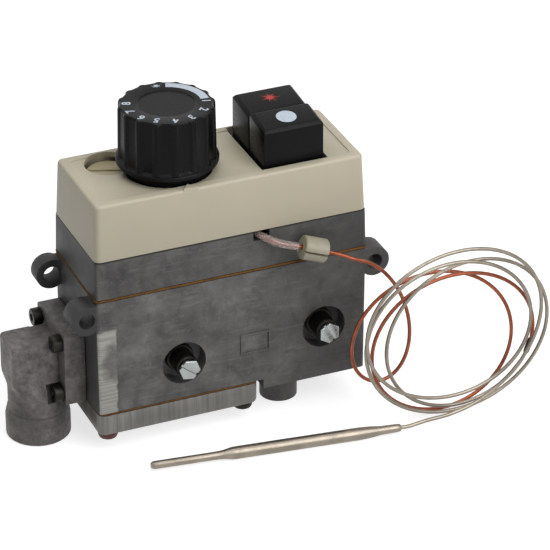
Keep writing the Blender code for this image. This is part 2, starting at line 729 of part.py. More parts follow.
def upper_casting():
    top_z = COVER_Z - GAP / 2
    shape = loft(casting_sections([(UPPER_BOTTOM_Z, CASTING_FLARE), (top_z, 0)]))
    casting = to_object("upper_casting", shape, DIE_CAST)
    pocket_outline = rounded(HALF_LENGTH - UPPER_WALL, HALF_DEPTH - UPPER_WALL, 3)
    pocket = to_object("upper_pocket", prism(pocket_outline, POCKET_FLOOR_Z, COVER_Z + 1))
    notch_y = (-HALF_DEPTH - 2, -HALF_DEPTH + UPPER_WALL + 1)
    notch = to_object("capillary_notch", box(NOTCH_X, notch_y, (COVER_Z - NOTCH_DEPTH, COVER_Z + 1)))
    seat = cylinder_tool(
        "adjuster_seat",
        ADJUSTER_STEM_RADIUS + GAP,
        (ADJUSTER_X, ADJUSTER_Y, ADJUSTER_SEAT_Z),
        (ADJUSTER_X, ADJUSTER_Y, POCKET_FLOOR_Z + 1),
    )
    low, high = UPPER_BOTTOM_Z - 1, POCKET_FLOOR_Z + 1
    holes = screw_holes("upper_screw_hole", BODY_SCREWS, BODY_SHANK_RADIUS + GAP, low, high)
    holes += screw_holes("upper_stem_hole", (IGNITION_STEM, OFF_STEM), STEM_RADIUS + GAP, low, high)
    holes += screw_holes("upper_rod_hole", ((KNOB_X, KNOB_Y),), VALVE_ROD_RADIUS + GAP, low, high)
    combine(casting, [pocket, notch, seat, *holes])


def main_gasket():
    low, high = JOINT_Z + GAP, JOINT_Z + GAP + MAIN_GASKET
    edge = CASTING_FLARE + 0.1
    outline = rounded(HALF_LENGTH + edge, HALF_DEPTH + edge, BODY_CORNER)
    sheet = to_object("main_gasket", prism(outline, low, high), GASKET_FIBRE)
    span = (low - 1, high + 1)
    holes = screw_holes("gasket_screw_hole", BODY_SCREWS, BODY_SHANK_RADIUS + GAP, *span)
    holes += screw_holes("gasket_stem_hole", (IGNITION_STEM, OFF_STEM), STEM_RADIUS + GAP, *span)
    holes += screw_holes("gasket_rod_hole", ((KNOB_X, KNOB_Y),), VALVE_ROD_RADIUS + GAP, *span)
    combine(sheet, holes)


def lug_pieces():
    """The four barrels that the valve is bolted through, each with its web to the casting."""
    barrels, holes = [], []
    for side in (-1, 1):
        for end, y0, y1 in (
            ("front", FRONT_Y, FRONT_Y + LUG_LENGTH),
            ("back", LUG_BACK_Y - LUG_BACK_LENGTH, LUG_BACK_Y),
        ):
            name = f"lug_{end}_{'left' if side < 0 else 'right'}"
            x = side * LUG_X
            barrels.append(cylinder_tool(name, LUG_RADIUS, (x, y0, LUG_Z), (x, y1, LUG_Z), 32))
            inner_x = side * (HALF_LENGTH - 3)
            web_x = (min(x, inner_x), max(x, inner_x))
            web_y = (y0, min(y1, HALF_DEPTH))
            web_z = (LUG_Z - LUG_RADIUS * 0.75, LUG_Z + LUG_RADIUS * 0.95)
            barrels.append(to_object(f"{name}_web", box(web_x, web_y, web_z)))
            holes.append(
                cylinder_tool(f"{name}_hole", LUG_HOLE_RADIUS, (x, y0 - 1, LUG_Z), (x, y1 + 1, LUG_Z))
            )
    return barrels, holes


def end_pad(name, x0, x1):
    """A flat rectangular pad across an end of the casting, round the gas passage."""
    outline = rounded(FLANGE_HEIGHT / 2, FLANGE_WIDTH / 2, FLANGE_CORNER)
    turn = (0, math.pi / 2, 0)
    return to_object(name, prism(outline, 0, x1 - x0), None, (x0, PORT_Y, PORT_Z), turn)


def lower_casting():
    flare_low = 0.1
    shape = loft(casting_sections([(LOWER_BOTTOM_Z, flare_low), (JOINT_Z, CASTING_FLARE)]))
    casting = to_object("lower_casting", shape, DIE_CAST)
    outside = HALF_LENGTH + CASTING_FLARE + 2
    seat_right_x = PLATE_RIGHT_X + PLATE_SIDE_GAP
    seat = box((-outside, seat_right_x), (-outside, outside), (LOWER_BOTTOM_Z - 1, PLATE_SEAT_Z))
    combine(casting, [to_object("plate_seat", seat)])

    barrels, lug_holes = lug_pieces()
    pilot = cylinder_tool(
        "pilot_boss", PILOT_BOSS_RADIUS, (*PILOT_BOSS, 0), (*PILOT_BOSS, LOWER_BOTTOM_Z + 1), 32
    )
    sensor = cylinder_tool(
        "sensor_boss", SENSOR_BOSS_RADIUS, (*IGNITION_STEM, 0), (*IGNITION_STEM, LOWER_BOTTOM_Z + 1), 28
    )
    outlet_pad = end_pad("outlet_pad", HALF_LENGTH - 1, PAD_FACE_X)
    combine(casting, [*barrels, pilot, sensor, outlet_pad], "UNION")

    cuts = list(lug_holes)
    axis = (KNOB_X, KNOB_Y)
    cuts += screw_holes(
        "valve_chamber", (axis,), VALVE_CHAMBER_RADIUS, PLATE_SEAT_Z - 1, VALVE_CHAMBER_TOP_Z, 20
    )
    cuts += screw_holes(
        "valve_rod_hole", (axis,), VALVE_ROD_RADIUS + GAP, VALVE_CHAMBER_TOP_Z - 1, JOINT_Z + 1
    )
    cuts += screw_holes("magnet_bore", (IGNITION_STEM,), MAGNET_RADIUS + GAP, MAGNET_SEAT_Z, JOINT_Z + 1, 24)
    cuts += screw_holes("sensor_bore", (IGNITION_STEM,), SENSOR_BORE_RADIUS, -1, MAGNET_SEAT_Z + 1)
    cuts += screw_holes("pilot_bore", (PILOT_BOSS,), PILOT_BORE_RADIUS, -1, PILOT_BORE_DEPTH)
    cuts += screw_holes("off_bore", (OFF_STEM,), STEM_RADIUS + GAP, OFF_BORE_Z, JOINT_Z + 1)
    cuts += screw_holes(
        "body_screw_hole", BODY_SCREWS, BODY_SHANK_RADIUS + GAP, BODY_SCREW_END_Z - GAP, JOINT_Z + 1
    )
    cuts += screw_holes(
        "plate_screw_hole",
        PLATE_SCREWS,
        PLATE_SHANK_RADIUS + GAP,
        PLATE_SEAT_Z - 1,
        PLATE_SEAT_Z + PLATE_SCREW_GRIP + GAP,
    )
    passage_ends = (-outside, PORT_Y, PORT_Z), (PAD_FACE_X + 1, PORT_Y, PORT_Z)
    cuts.append(cylinder_tool("gas_passage", PASSAGE_RADIUS, *passage_ends))
    face_x = -HALF_LENGTH - CASTING_FLARE
    for number, (y, z) in enumerate(FLANGE_SCREWS, 1):
        end_x = -HALF_LENGTH + SOCKET_SCREW_GRIP + GAP
        hole_radius = SOCKET_SHANK_RADIUS + GAP
        cuts.append(
            cylinder_tool(f"flange_screw_hole_{number}", hole_radius, (face_x - 1, y, z), (end_x, y, z), 12)
        )
        bottom_x = PAD_FACE_X - TAPPED_HOLE_DEPTH
        cuts.append(
            cylinder_tool(
                f"tapped_hole_{number}", TAPPED_HOLE_RADIUS, (PAD_FACE_X + 1, y, z), (bottom_x, y, z), 12
            )
        )
    for number, (x, z) in enumerate(TEST_POINTS, 1):
        front = (x, FRONT_Y - 2, z)
        floor_y = FRONT_Y + TEST_RECESS_DEPTH
        cuts.append(cylinder_tool(f"test_recess_{number}", TEST_RECESS_RADIUS, front, (x, floor_y, z), 32))
        deep = (x, floor_y + NIPPLE_THREAD + GAP, z)
        cuts.append(cylinder_tool(f"test_socket_{number}", NIPPLE_THREAD_RADIUS + GAP, front, deep))
    combine(casting, cuts)


def bottom_plate():
    width = PLATE_RIGHT_X + HALF_LENGTH
    middle_x = (PLATE_RIGHT_X - HALF_LENGTH) / 2
    outline = rounded(width / 2, HALF_DEPTH, PLATE_CORNER)
    plate_shape = loft(
        [
            [(x, y, z) for x, y in rounded(width / 2 - inset, HALF_DEPTH - inset, PLATE_CORNER - inset)]
            for inset, z in (
                (PLATE_EDGE * 1.3, PLATE_BOTTOM_Z),
                (PLATE_EDGE * 0.4, PLATE_BOTTOM_Z + PLATE_EDGE * 0.4),
                (0, PLATE_BOTTOM_Z + PLATE_EDGE * 1.3),
                (0, PLATE_TOP_Z),
            )
        ]
    )
    plate = to_object("bottom_plate", plate_shape, PLATE_ALUMINIUM, (middle_x, 0, 0))
    hole_radius = PLATE_SHANK_RADIUS + GAP
    combine(
        plate, screw_holes("plate_hole", PLATE_SCREWS, hole_radius, PLATE_BOTTOM_Z - 1, PLATE_TOP_Z + 1)
    )
    low = PLATE_TOP_Z + GAP
    sheet = to_object("bottom_gasket", prism(outline, low, low + PLATE_GASKET), GASKET_FIBRE, (middle_x, 0, 0))
    holes = screw_holes("plate_gasket_hole", PLATE_SCREWS, hole_radius, low - 1, low + PLATE_GASKET + 1)
    holes += screw_holes(
        "plate_gasket_window",
        ((KNOB_X, KNOB_Y),),
        VALVE_CHAMBER_RADIUS + GAP,
        low - 1,
        low + PLATE_GASKET + 1,
    )
    combine(sheet, holes)


# ---- screws -----------------------------------------------------------------------------------
def plate_screws():
    """Pan-head screws, head down, through the bottom plate."""
    head_z = PLATE_BOTTOM_Z - GAP
    low_z = head_z - PLATE_HEAD_HEIGHT
    end_z = PLATE_SEAT_Z + PLATE_SCREW_GRIP
    profile = [
        (0, low_z),
        (PLATE_HEAD_RADIUS * 0.6, low_z),
        (PLATE_HEAD_RADIUS * 0.9, low_z + PLATE_HEAD_HEIGHT * 0.25),
        (PLATE_HEAD_RADIUS, low_z + PLATE_HEAD_HEIGHT * 0.6),
        (PLATE_HEAD_RADIUS, head_z),
        (PLATE_SHANK_RADIUS, head_z),
        (PLATE_SHANK_RADIUS, end_z),
        (0, end_z),
    ]
    for number, spot in enumerate(PLATE_SCREWS, 1):
        to_object(f"plate_screw_{number}", turned(profile, 16), BLACK_STEEL, (*spot, 0))


def body_screws():
    """Cheese-head screws on the pocket's floor that draw the castings together."""
    head_z = POCKET_FLOOR_Z + GAP
    top_z = head_z + BODY_HEAD_HEIGHT
    profile = [
        (0, BODY_SCREW_END_Z),
        (BODY_SHANK_RADIUS, BODY_SCREW_END_Z),
        (BODY_SHANK_RADIUS, head_z),
        (BODY_HEAD_RADIUS, head_z),
        (BODY_HEAD_RADIUS, top_z - 0.4),
        (BODY_HEAD_RADIUS - 0.4, top_z),
        (0, top_z),
    ]
    for number, spot in enumerate(BODY_SCREWS, 1):
        to_object(f"body_screw_{number}", turned(profile, 16), ZINC_STEEL, (*spot, 0))


def flange_screws():
    """Socket-head screws that hold the elbow to the left end."""
    grip = -HALF_LENGTH + SOCKET_SCREW_GRIP - FLANGE_LEFT_X
    head = SOCKET_HEAD_HEIGHT + GAP
    profile = [
        (0, -grip),
        (SOCKET_SHANK_RADIUS, -grip),
        (SOCKET_SHANK_RADIUS, GAP),
        (SOCKET_HEAD_RADIUS, GAP),
        (SOCKET_HEAD_RADIUS, head - 0.4),
        (SOCKET_HEAD_RADIUS - 0.4, head),
        (0, head),
    ]
    outwards = (0, -math.pi / 2, 0)
    for number, (y, z) in enumerate(FLANGE_SCREWS, 1):
        place = (FLANGE_LEFT_X, y, z)
        screw = to_object(f"flange_screw_{number}", turned(profile, 16), BLACK_STEEL, place, outwards)
        socket = turned([(0, head - 2), (1.7, head - 2), (1.7, head + 1), (0, head + 1)], 6)
        combine(screw, [to_object(f"flange_screw_socket_{number}", socket, None, place, outwards)])


# ---- inlet elbow ------------------------------------------------------------------------------
def superellipse(middle, half_x, half_y, power, z, count=28):
    """A section between a circle (power 2) and a box with soft corners (high power)."""
    points = []
    for i in range(count):
        angle = 2 * math.pi * (i + 0.5) / count
        c, s = math.cos(angle), math.sin(angle)
        x = middle[0] + half_x * math.copysign(abs(c) ** (2 / power), c)
        y = middle[1] + half_y * math.copysign(abs(s) ** (2 / power), s)
        points.append((x, y, z))
    return points


def inlet_elbow():
    box_right_x = FLANGE_LEFT_X + 1
    box_middle = ((ELBOW_BOX_LEFT_X + box_right_x) / 2, PORT_Y)
    box_half = ((box_right_x - ELBOW_BOX_LEFT_X) / 2, ELBOW_BOX_DEPTH / 2)
    boss = (ELBOW_BOSS_X, PORT_Y)
    neck_top, neck_low = ELBOW_NECK_Z
    sections = [
        superellipse(boss, ELBOW_BOSS_RADIUS - 0.5, ELBOW_BOSS_RADIUS - 0.5, 2, 0),
        superellipse(boss, ELBOW_BOSS_RADIUS, ELBOW_BOSS_RADIUS, 2, 0.5),
        superellipse(boss, ELBOW_BOSS_RADIUS, ELBOW_BOSS_RADIUS, 2, ELBOW_BOSS_TOP_Z),
        superellipse(boss, ELBOW_NECK_RADIUS, ELBOW_NECK_RADIUS, 2, neck_low),
    ]
    steps = 4
    for step in range(steps + 1):
        share = step / steps
        ease = share * share * (3 - 2 * share)
        middle = tuple(a + (b - a) * ease for a, b in zip(boss, box_middle))
        half_x = ELBOW_NECK_RADIUS + (box_half[0] - ELBOW_NECK_RADIUS) * ease
        half_y = ELBOW_NECK_RADIUS + (box_half[1] - ELBOW_NECK_RADIUS) * ease
        z = neck_top + (ELBOW_BOX_BOTTOM_Z - neck_top) * share
        sections.append(superellipse(middle, half_x, half_y, 2 + 8 * ease * ease, z))
    for inset, drop in ((0, 1.2), (0.35, 0.35), (1.2, 0)):
        top_z = ELBOW_TOP_Z - drop
        sections.append(superellipse(box_middle, box_half[0] - inset, box_half[1] - inset, 10, top_z))
    elbow = to_object("inlet_elbow", loft(sections), ELBOW_ALUMINIUM)
    combine(elbow, [end_pad("inlet_flange", FLANGE_LEFT_X, FLANGE_FACE_X)], "UNION")

    cuts = [
        cylinder_tool("port_thread", PORT_THREAD_RADIUS, (*boss, -1), (*boss, PORT_THREAD_DEPTH), 28),
        cylinder_tool("port_riser", RISER_RADIUS, (*boss, 0), (*boss, PORT_Z + PASSAGE_RADIUS)),
        cylinder_tool("port_run", PASSAGE_RADIUS, (*boss, PORT_Z), (FLANGE_FACE_X + 1, PORT_Y, PORT_Z)),
    ]
    half_ring = O_RING_THICKNESS / 2 + GAP
    groove = [
        (O_RING_RADIUS - half_ring, -O_RING_THICKNESS - GAP),
        (O_RING_RADIUS + half_ring, -O_RING_THICKNESS - GAP),
        (O_RING_RADIUS + half_ring, 1),
        (O_RING_RADIUS - half_ring, 1),
    ]
    along_x = (0, math.pi / 2, 0)
    port_face = (FLANGE_FACE_X, PORT_Y, PORT_Z)
    cuts.append(to_object("o_ring_groove", turned(groove, 24, closed=True), None, port_face, along_x))
    for number, (y, z) in enumerate(FLANGE_SCREWS, 1):
        face = (FLANGE_LEFT_X, y, z)
        hole_end = (FLANGE_FACE_X + 1, y, z)
        relief_end = (FLANGE_LEFT_X - SOCKET_HEAD_HEIGHT - 2.5, y, z)
        cuts.append(cylinder_tool(f"flange_hole_{number}", SOCKET_SHANK_RADIUS + GAP, face, hole_end, 12))
        cuts.append(
            cylinder_tool(f"head_relief_{number}", SOCKET_HEAD_RADIUS + 2 * GAP, face, relief_end, 16)
        )
    combine(elbow, cuts)

    ring = []
    for i in range(8):
        angle = 2 * math.pi * i / 8
        radius = O_RING_RADIUS + O_RING_THICKNESS / 2 * math.cos(angle)
        ring.append((radius, O_RING_THICKNESS / 2 * math.sin(angle)))
    ring_x = FLANGE_FACE_X - O_RING_THICKNESS / 2 + GAP / 2
    place = (ring_x, PORT_Y, PORT_Z)
    to_object("elbow_o_ring", turned(ring, 24, closed=True), BLACK_RUBBER, place, along_x)


# ---- pressure test points ---------------------------------------------------------------------
def test_points():
    outwards = (math.pi / 2, 0, 0)
    tip = TEST_RECESS_DEPTH + NIPPLE_PROUD
    shoulder = GAP + NIPPLE_FOOT
    barrel = [
        (NIPPLE_BORE_RADIUS, -NIPPLE_THREAD),
        (NIPPLE_THREAD_RADIUS, -NIPPLE_THREAD),
        (NIPPLE_THREAD_RADIUS, GAP),
        (NIPPLE_FOOT_RADIUS, GAP),
        (NIPPLE_FOOT_RADIUS, shoulder),
        (NIPPLE_RADIUS, shoulder),
        (NIPPLE_RADIUS, tip - 0.9),
        (NIPPLE_RADIUS - 0.6, tip),
        (NIPPLE_BORE_RADIUS, tip),
    ]
    head_z = tip + GAP
    hex_radius = TEST_HEX_FLATS / math.sqrt(3)
    shank = [(0, 0), (TEST_SHANK_RADIUS, 0), (TEST_SHANK_RADIUS, head_z + 0.5), (0, head_z + 0.5)]
    corners = []
    for k in range(6):
        angle = k * math.pi / 3
        corners.append((hex_radius * math.cos(angle), hex_radius * math.sin(angle)))
    slot_reach = TEST_HEX_FLATS
    half_slot = TEST_SLOT_WIDTH / 2
    for side, (x, z), slot_turn in zip(("left", "right"), TEST_POINTS, TEST_SLOT_TURNS):
        place = (x, FRONT_Y + TEST_RECESS_DEPTH, z)
        to_object(f"test_nipple_{side}", turned(barrel, 24, closed=True), BLACK_STEEL, place, outwards)
        head = prism(corners, head_z, head_z + TEST_HEX_HEIGHT, 0.25)
        bmesh.ops.rotate(
            head, verts=head.verts, cent=(0, 0, 0), matrix=Matrix.Rotation(slot_turn, 3, "Z")
        )
        screw = to_object(f"test_screw_{side}", head, ZINC_STEEL, place, outwards, 20)
        stem = to_object(f"test_shank_{side}", turned(shank, 20), None, place, outwards)
        slot_z = (head_z + TEST_HEX_HEIGHT - 1.0, head_z + TEST_HEX_HEIGHT + 1)
        slot_shape = box((-slot_reach, slot_reach), (-half_slot, half_slot), slot_z)
        bmesh.ops.rotate(
            slot_shape, verts=slot_shape.verts, cent=(0, 0, 0), matrix=Matrix.Rotation(slot_turn, 3, "Z")
        )
        slot = to_object(f"test_slot_{side}", slot_shape, None, place, outwards)
        combine(screw, [stem], "UNION")
        combine(screw, [slot])


# ---- pieces inside the castings ---------------------------------------------------------------
def bellows():
    """The expanding element: stacked dished rings that push the spindle's seat."""
    base_z = POCKET_FLOOR_Z + GAP
    profile = [(0, base_z), (BELLOWS_RADIUS, base_z)]
    fold = (BELLOWS_HEIGHT - 1.6) / BELLOWS_FOLDS
    z = base_z + 0.8
    profile.append((BELLOWS_RADIUS, z))
    for _ in range(BELLOWS_FOLDS):
        profile.append((BELLOWS_RADIUS - 1.8, z + fold * 0.25))
        profile.append((BELLOWS_RADIUS - 1.8, z + fold * 0.5))
        profile.append((BELLOWS_RADIUS, z + fold * 0.75))
        z += fold
        profile.append((BELLOWS_RADIUS, z))
    profile.append((BELLOWS_RADIUS - 0.6, BELLOWS_TOP_Z))
    profile.append((0, BELLOWS_TOP_Z))
    to_object("bellows", turned(profile, 20), STAINLESS, (KNOB_X, KNOB_Y, 0))


def main_valve():
    disc_z = VALVE_CHAMBER_TOP_Z - GAP
    under_z = disc_z - VALVE_DISC_THICKNESS
    profile = [
        (0, under_z - 2),
        (VALVE_SPRING_RADIUS - 2, under_z - 2),
        (VALVE_SPRING_RADIUS - 2, under_z),
        (VALVE_DISC_RADIUS, under_z),
        (VALVE_DISC_RADIUS, disc_z - 0.8),
        (VALVE_DISC_RADIUS - 1.2, disc_z),
        (VALVE_ROD_RADIUS, disc_z),
        (VALVE_ROD_RADIUS, POCKET_FLOOR_Z),
        (0, POCKET_FLOOR_Z),
    ]
    to_object("valve_disc", turned(profile, 24), BRASS, (KNOB_X, KNOB_Y, 0))
    spring(
        "valve_spring",
        (KNOB_X, KNOB_Y),
        PLATE_TOP_Z + GAP,
        under_z - GAP,
        VALVE_SPRING_RADIUS,
        1.0,
        VALVE_SPRING_TURNS,
    )


def magnet_unit():
    top_z = MAGNET_BOTTOM_Z + MAGNET_HEIGHT
    cap_z = top_z - MAGNET_CAP
    waist_z = cap_z - MAGNET_WAIST
    profile = [
        (0, PILOT_BORE_DEPTH),
        (SENSOR_BORE_RADIUS - GAP, PILOT_BORE_DEPTH),
        (SENSOR_BORE_RADIUS - GAP, MAGNET_BOTTOM_Z),
        (MAGNET_RADIUS, MAGNET_BOTTOM_Z),
        (MAGNET_RADIUS, waist_z),
        (MAGNET_WAIST_RADIUS, waist_z),
        (MAGNET_WAIST_RADIUS, cap_z),
        (MAGNET_CAP_RADIUS, cap_z),
        (MAGNET_CAP_RADIUS, top_z),
        (0, top_z),
    ]
    to_object("magnet_unit", turned(profile, 24), BRASS, (*IGNITION_STEM, 0))


def inlet_strainer():
    radius = PASSAGE_RADIUS - GAP
    length, wall = 14.0, 0.7
    cup = [
        (0, length - wall),
        (radius - wall, length - wall),
        (radius - wall, 0),
        (radius, 0),
        (radius, length),
        (0, length),
    ]
    place = (-HALF_LENGTH + 1, PORT_Y, PORT_Z)
    to_object("inlet_strainer", turned(cup, 24), STAINLESS, place, (0, math.pi / 2, 0))


# ---- capillary and bulb -----------------------------------------------------------------------
def turn_value(column, turn):
    """A size of the wound tube at any turn, on a smooth curve through the rows of TURNS."""
    values = [row[column] for row in TURNS]
    k = min(int(turn), len(values) - 2)
    u = turn - k
    a, b, c, d = (values[min(max(i, 0), len(values) - 1)] for i in (k - 1, k, k + 1, k + 2))
    return 0.5 * (
        2 * b + (c - a) * u + (2 * a - 5 * b + 4 * c - d) * u**2 + (3 * b - a - 3 * c + d) * u**3
    )


def turn_point(turn):
    """The wound tube's middle at a turn, counted clockwise from the top of the first loop."""
    angle = math.pi / 2 - 2 * math.pi * turn
    x = turn_value(0, turn) + turn_value(2, turn) * math.cos(angle)
    z = turn_value(1, turn) + turn_value(3, turn) * math.sin(angle)
    y = float(np.interp(turn, *zip(*TURN_DEPTHS)))
    return Vector((x, y, z))


def wound_points(first, last):
    """Points along the turns from first to last, with a straight end one diameter long at each."""
    count = math.ceil((last - first) * TURN_POINTS)
    points = [turn_point(first + (last - first) * i / count) for i in range(count + 1)]
    lead_in = (points[0] - turn_point(first + 0.01)).normalized() * TUBE_DIAMETER
    lead_out = (points[-1] - turn_point(last - 0.01)).normalized() * TUBE_DIAMETER
    return [points[0] + lead_in, *points, points[-1] + lead_out]


def end_direction(points, end):
    """The direction in which a run of points leaves its first or last point."""
    outer, inner = (points[0], points[1]) if end == 0 else (points[-1], points[-2])
    return (Vector(outer) - Vector(inner)).normalized()


def report_least_gap(points):
    """Prints the least distance between the surfaces of neighbouring turns."""
    fine = []
    for p, q in zip(points, points[1:]):
        fine += [tuple(p.lerp(q, k / 6)) for k in range(6)]
    table = np.array(fine)
    run = np.cumsum(np.r_[0.0, np.linalg.norm(np.diff(table, axis=0), axis=1)])
    least = min(
        float(np.linalg.norm(table[far] - here, axis=1).min())
        for here, s in zip(table, run)
        if (far := np.abs(run - s) > 40.0).any()
    )
    print(f"least gap between turns of the capillary: {least - TUBE_DIAMETER:.2f} mm")


def capillary():
    copper = wound_points(*COPPER_TURNS)
    steel = wound_points(*STEEL_TURNS)
    report_least_gap(copper + steel)
    tube("copper_coil", copper, TUBE_DIAMETER, COPPER, 1)
    tube("steel_coil", steel, TUBE_DIAMETER, STAINLESS, 1)

    out = end_direction(copper, 0)
    lead_end = copper[0] + out * GAP
    lead = smooth_route([*LEAD_ROUTE, lead_end + out * TUBE_DIAMETER, lead_end], 2 * TUBE_DIAMETER)
    tube("copper_lead", lead, TUBE_DIAMETER, COPPER)

    out = end_direction(lead, 0)
    inner_end = Vector(lead[0]) + out * GAP
    route = [*INNER_ROUTE, inner_end + out * TUBE_DIAMETER, inner_end]
    inner = smooth_route(route, 2 * TUBE_DIAMETER)
    tube("inner_tube", inner, TUBE_DIAMETER, COPPER)

    sleeve_end = next(i for i, p in enumerate(lead) if p[0] > BUSH_START[0] - TUBE_DIAMETER)
    sleeve_points = lead[:sleeve_end]
    channel = TUBE_DIAMETER + 2 * GAP
    to_object("capillary_sleeve", hose(sleeve_points, SLEEVE_DIAMETER, channel), CLEAR_TUBE)

    start, end = Vector(BUSH_START), Vector(BUSH_END)
    length = (end - start).length
    turn = (end - start).to_track_quat("Z", "Y").to_euler()
    radius = BUSH_DIAMETER / 2
    bush_profile = [
        (0, 0),
        (radius - 0.5, 0),
        (radius, 0.5),
        (radius, length - 0.5),
        (radius - 0.5, length),
        (0, length),
    ]
    bush = to_object("capillary_bush", turned(bush_profile, 24), NYLON, start, turn)
    bore = to_object("bush_bore", hose(lead, channel))
    split = box((0, radius + 1), (-0.35, 0.35), (-1, length + 1))
    slit = to_object("bush_slit", split, None, start, turn)
    combine(bush, [bore, slit])

    gap_start = copper[-1] + end_direction(copper, 1) * GAP
    gap_end = steel[0] + end_direction(steel, 0) * GAP
    length = (gap_end - gap_start).length
    turn = (gap_end - gap_start).to_track_quat("Z", "Y").to_euler()
    joint = rod(JOINT_DIAMETER / 2, 0, length, 16, 0.3)
    to_object("brazed_joint", joint, BRASS, gap_start, turn)

    out = end_direction(steel, 1)
    tail_start = steel[-1] + out * GAP
    bulb_start, bulb_end = Vector(BULB_START), Vector(BULB_END)
    bulb_axis = (bulb_end - bulb_start).normalized()
    tail_end = bulb_start - bulb_axis * GAP
    route = [tail_start, tail_start + out * TUBE_DIAMETER, *TAIL_ROUTE]
    route += [tail_end - bulb_axis * 2 * TUBE_DIAMETER, tail_end]
    tube("steel_tail", smooth_route(route, 2 * TUBE_DIAMETER), TUBE_DIAMETER, STAINLESS)

    length = (bulb_end - bulb_start).length
    profile = [(0, 0), *((d / 2, share * length) for share, d in BULB_PROFILE), (0, length)]
    turn = bulb_axis.to_track_quat("Z", "Y").to_euler()
    to_object("sensing_bulb", turned(profile, 20), STAINLESS, bulb_start, turn)


# ---- places that several pieces share ---------------------------------------------------------
OPENING_X = (BUTTON_X - BUTTON_WIDTH / 2 - OPENING_LEFT, BUTTON_X + BUTTON_WIDTH / 2 + OPENING_RIGHT)
OPENING_Y = (BUTTON_FRONT_Y - OPENING_FRONT, BUTTON_BACK_Y + OPENING_BACK)
KNOB_HUB_LIFT = 2.0
KNOB_BORE_DEPTH = KNOB_HEIGHT - KNOB_DISH_DEPTH - 2 * KNOB_WALL
BELLOWS_TOP_Z = POCKET_FLOOR_Z + GAP + BELLOWS_HEIGHT
ADJUSTER_SEAT_Z = POCKET_FLOOR_Z - UPPER_FLOOR * 0.6
BUTTON_HUB_Z = COVER_TOP_Z - BUTTON_SKIRT + 1.5
PAD_FACE_X = HALF_LENGTH + CASTING_FLARE + PAD_PROUD
MAGNET_SEAT_Z = MAGNET_BOTTOM_Z - GAP
IGNITION_STEM_END_Z = MAGNET_BOTTOM_Z + MAGNET_HEIGHT + IGNITION_TRAVEL + 2
OFF_BORE_Z = JOINT_Z - OFF_BORE_DEPTH
OFF_STEM_END_Z = OFF_BORE_Z + OFF_TRAVEL + 2
BODY_SCREW_END_Z = JOINT_Z - BODY_SCREW_GRIP
BODY_SCREWS = [
    (sx * (HALF_LENGTH - BODY_SCREW_INSET), sy * (HALF_DEPTH - BODY_SCREW_INSET))
    for sx in (-1, 1)
    for sy in (-1, 1)
]
PLATE_SCREWS = [
    (-HALF_LENGTH + PLATE_SCREW_INSET, -HALF_DEPTH + PLATE_SCREW_INSET),
    (PLATE_RIGHT_X - PLATE_SCREW_INSET, -HALF_DEPTH + PLATE_SCREW_INSET),
    (-HALF_LENGTH + PLATE_BACK_SCREW_INSET, HALF_DEPTH - PLATE_SCREW_INSET),
    (PLATE_RIGHT_X - PLATE_BACK_SCREW_INSET, HALF_DEPTH - PLATE_SCREW_INSET),
]
FLANGE_SCREWS = [
    (PORT_Y + sy * FLANGE_SCREW_PITCH / 2, PORT_Z + sz * FLANGE_SCREW_PITCH / 2)
    for sy in (-1, 1)
    for sz in (-1, 1)
]

cover()
knob()
temperature_spindle()
adjusting_disc()
push_button(
    "ignition_button",
    BUTTON_SPLIT_Y + BUTTON_SPLIT_GAP / 2,
    BUTTON_BACK_Y,
    IGNITION_STEM,
    IGNITION_STEM_END_Z,
)
push_button("off_button", BUTTON_FRONT_Y, BUTTON_SPLIT_Y - BUTTON_SPLIT_GAP / 2, OFF_STEM, OFF_STEM_END_Z)
upper_casting()
main_gasket()
lower_casting()
bottom_plate()
plate_screws()
body_screws()
inlet_elbow()
flange_screws()
test_points()
bellows()
main_valve()
magnet_unit()
inlet_strainer()
capillary()
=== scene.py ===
"""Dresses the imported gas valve: fine shapes, procedural finishes, lights and the camera."""

import json
import math
from functools import partial

import bpy
import numpy as np
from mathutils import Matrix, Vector

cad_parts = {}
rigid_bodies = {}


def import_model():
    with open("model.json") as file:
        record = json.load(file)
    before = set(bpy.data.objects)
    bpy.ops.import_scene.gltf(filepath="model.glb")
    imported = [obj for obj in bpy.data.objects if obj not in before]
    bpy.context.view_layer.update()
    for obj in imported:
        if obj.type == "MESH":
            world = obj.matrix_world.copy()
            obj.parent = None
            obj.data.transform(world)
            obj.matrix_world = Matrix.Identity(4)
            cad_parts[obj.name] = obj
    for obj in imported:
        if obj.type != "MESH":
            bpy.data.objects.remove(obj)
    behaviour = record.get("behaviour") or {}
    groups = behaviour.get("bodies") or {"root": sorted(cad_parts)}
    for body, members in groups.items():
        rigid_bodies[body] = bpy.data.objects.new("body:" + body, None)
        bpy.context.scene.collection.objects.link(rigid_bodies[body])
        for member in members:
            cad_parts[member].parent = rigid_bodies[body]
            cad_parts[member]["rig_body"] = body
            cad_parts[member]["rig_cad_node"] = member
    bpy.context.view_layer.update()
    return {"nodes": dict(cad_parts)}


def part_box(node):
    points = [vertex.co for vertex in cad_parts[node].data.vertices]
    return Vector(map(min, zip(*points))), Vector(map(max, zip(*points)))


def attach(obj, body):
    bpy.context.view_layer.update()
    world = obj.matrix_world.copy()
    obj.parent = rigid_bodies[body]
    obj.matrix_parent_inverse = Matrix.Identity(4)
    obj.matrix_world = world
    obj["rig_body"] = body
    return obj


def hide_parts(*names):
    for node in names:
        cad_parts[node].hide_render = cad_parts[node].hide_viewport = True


bl_info = {
    "name": "Gas valve",
    "version": (1, 0, 0),
    "blender": (4, 5, 0),
    "location": "3D View > Sidebar > Gas valve",
    "description": "Builds the visible pieces of a thermostatic gas valve round its solid frame",
    "category": "Object",
}

MM = 0.001
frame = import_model()
COVER_LOW, COVER_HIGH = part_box("cover")
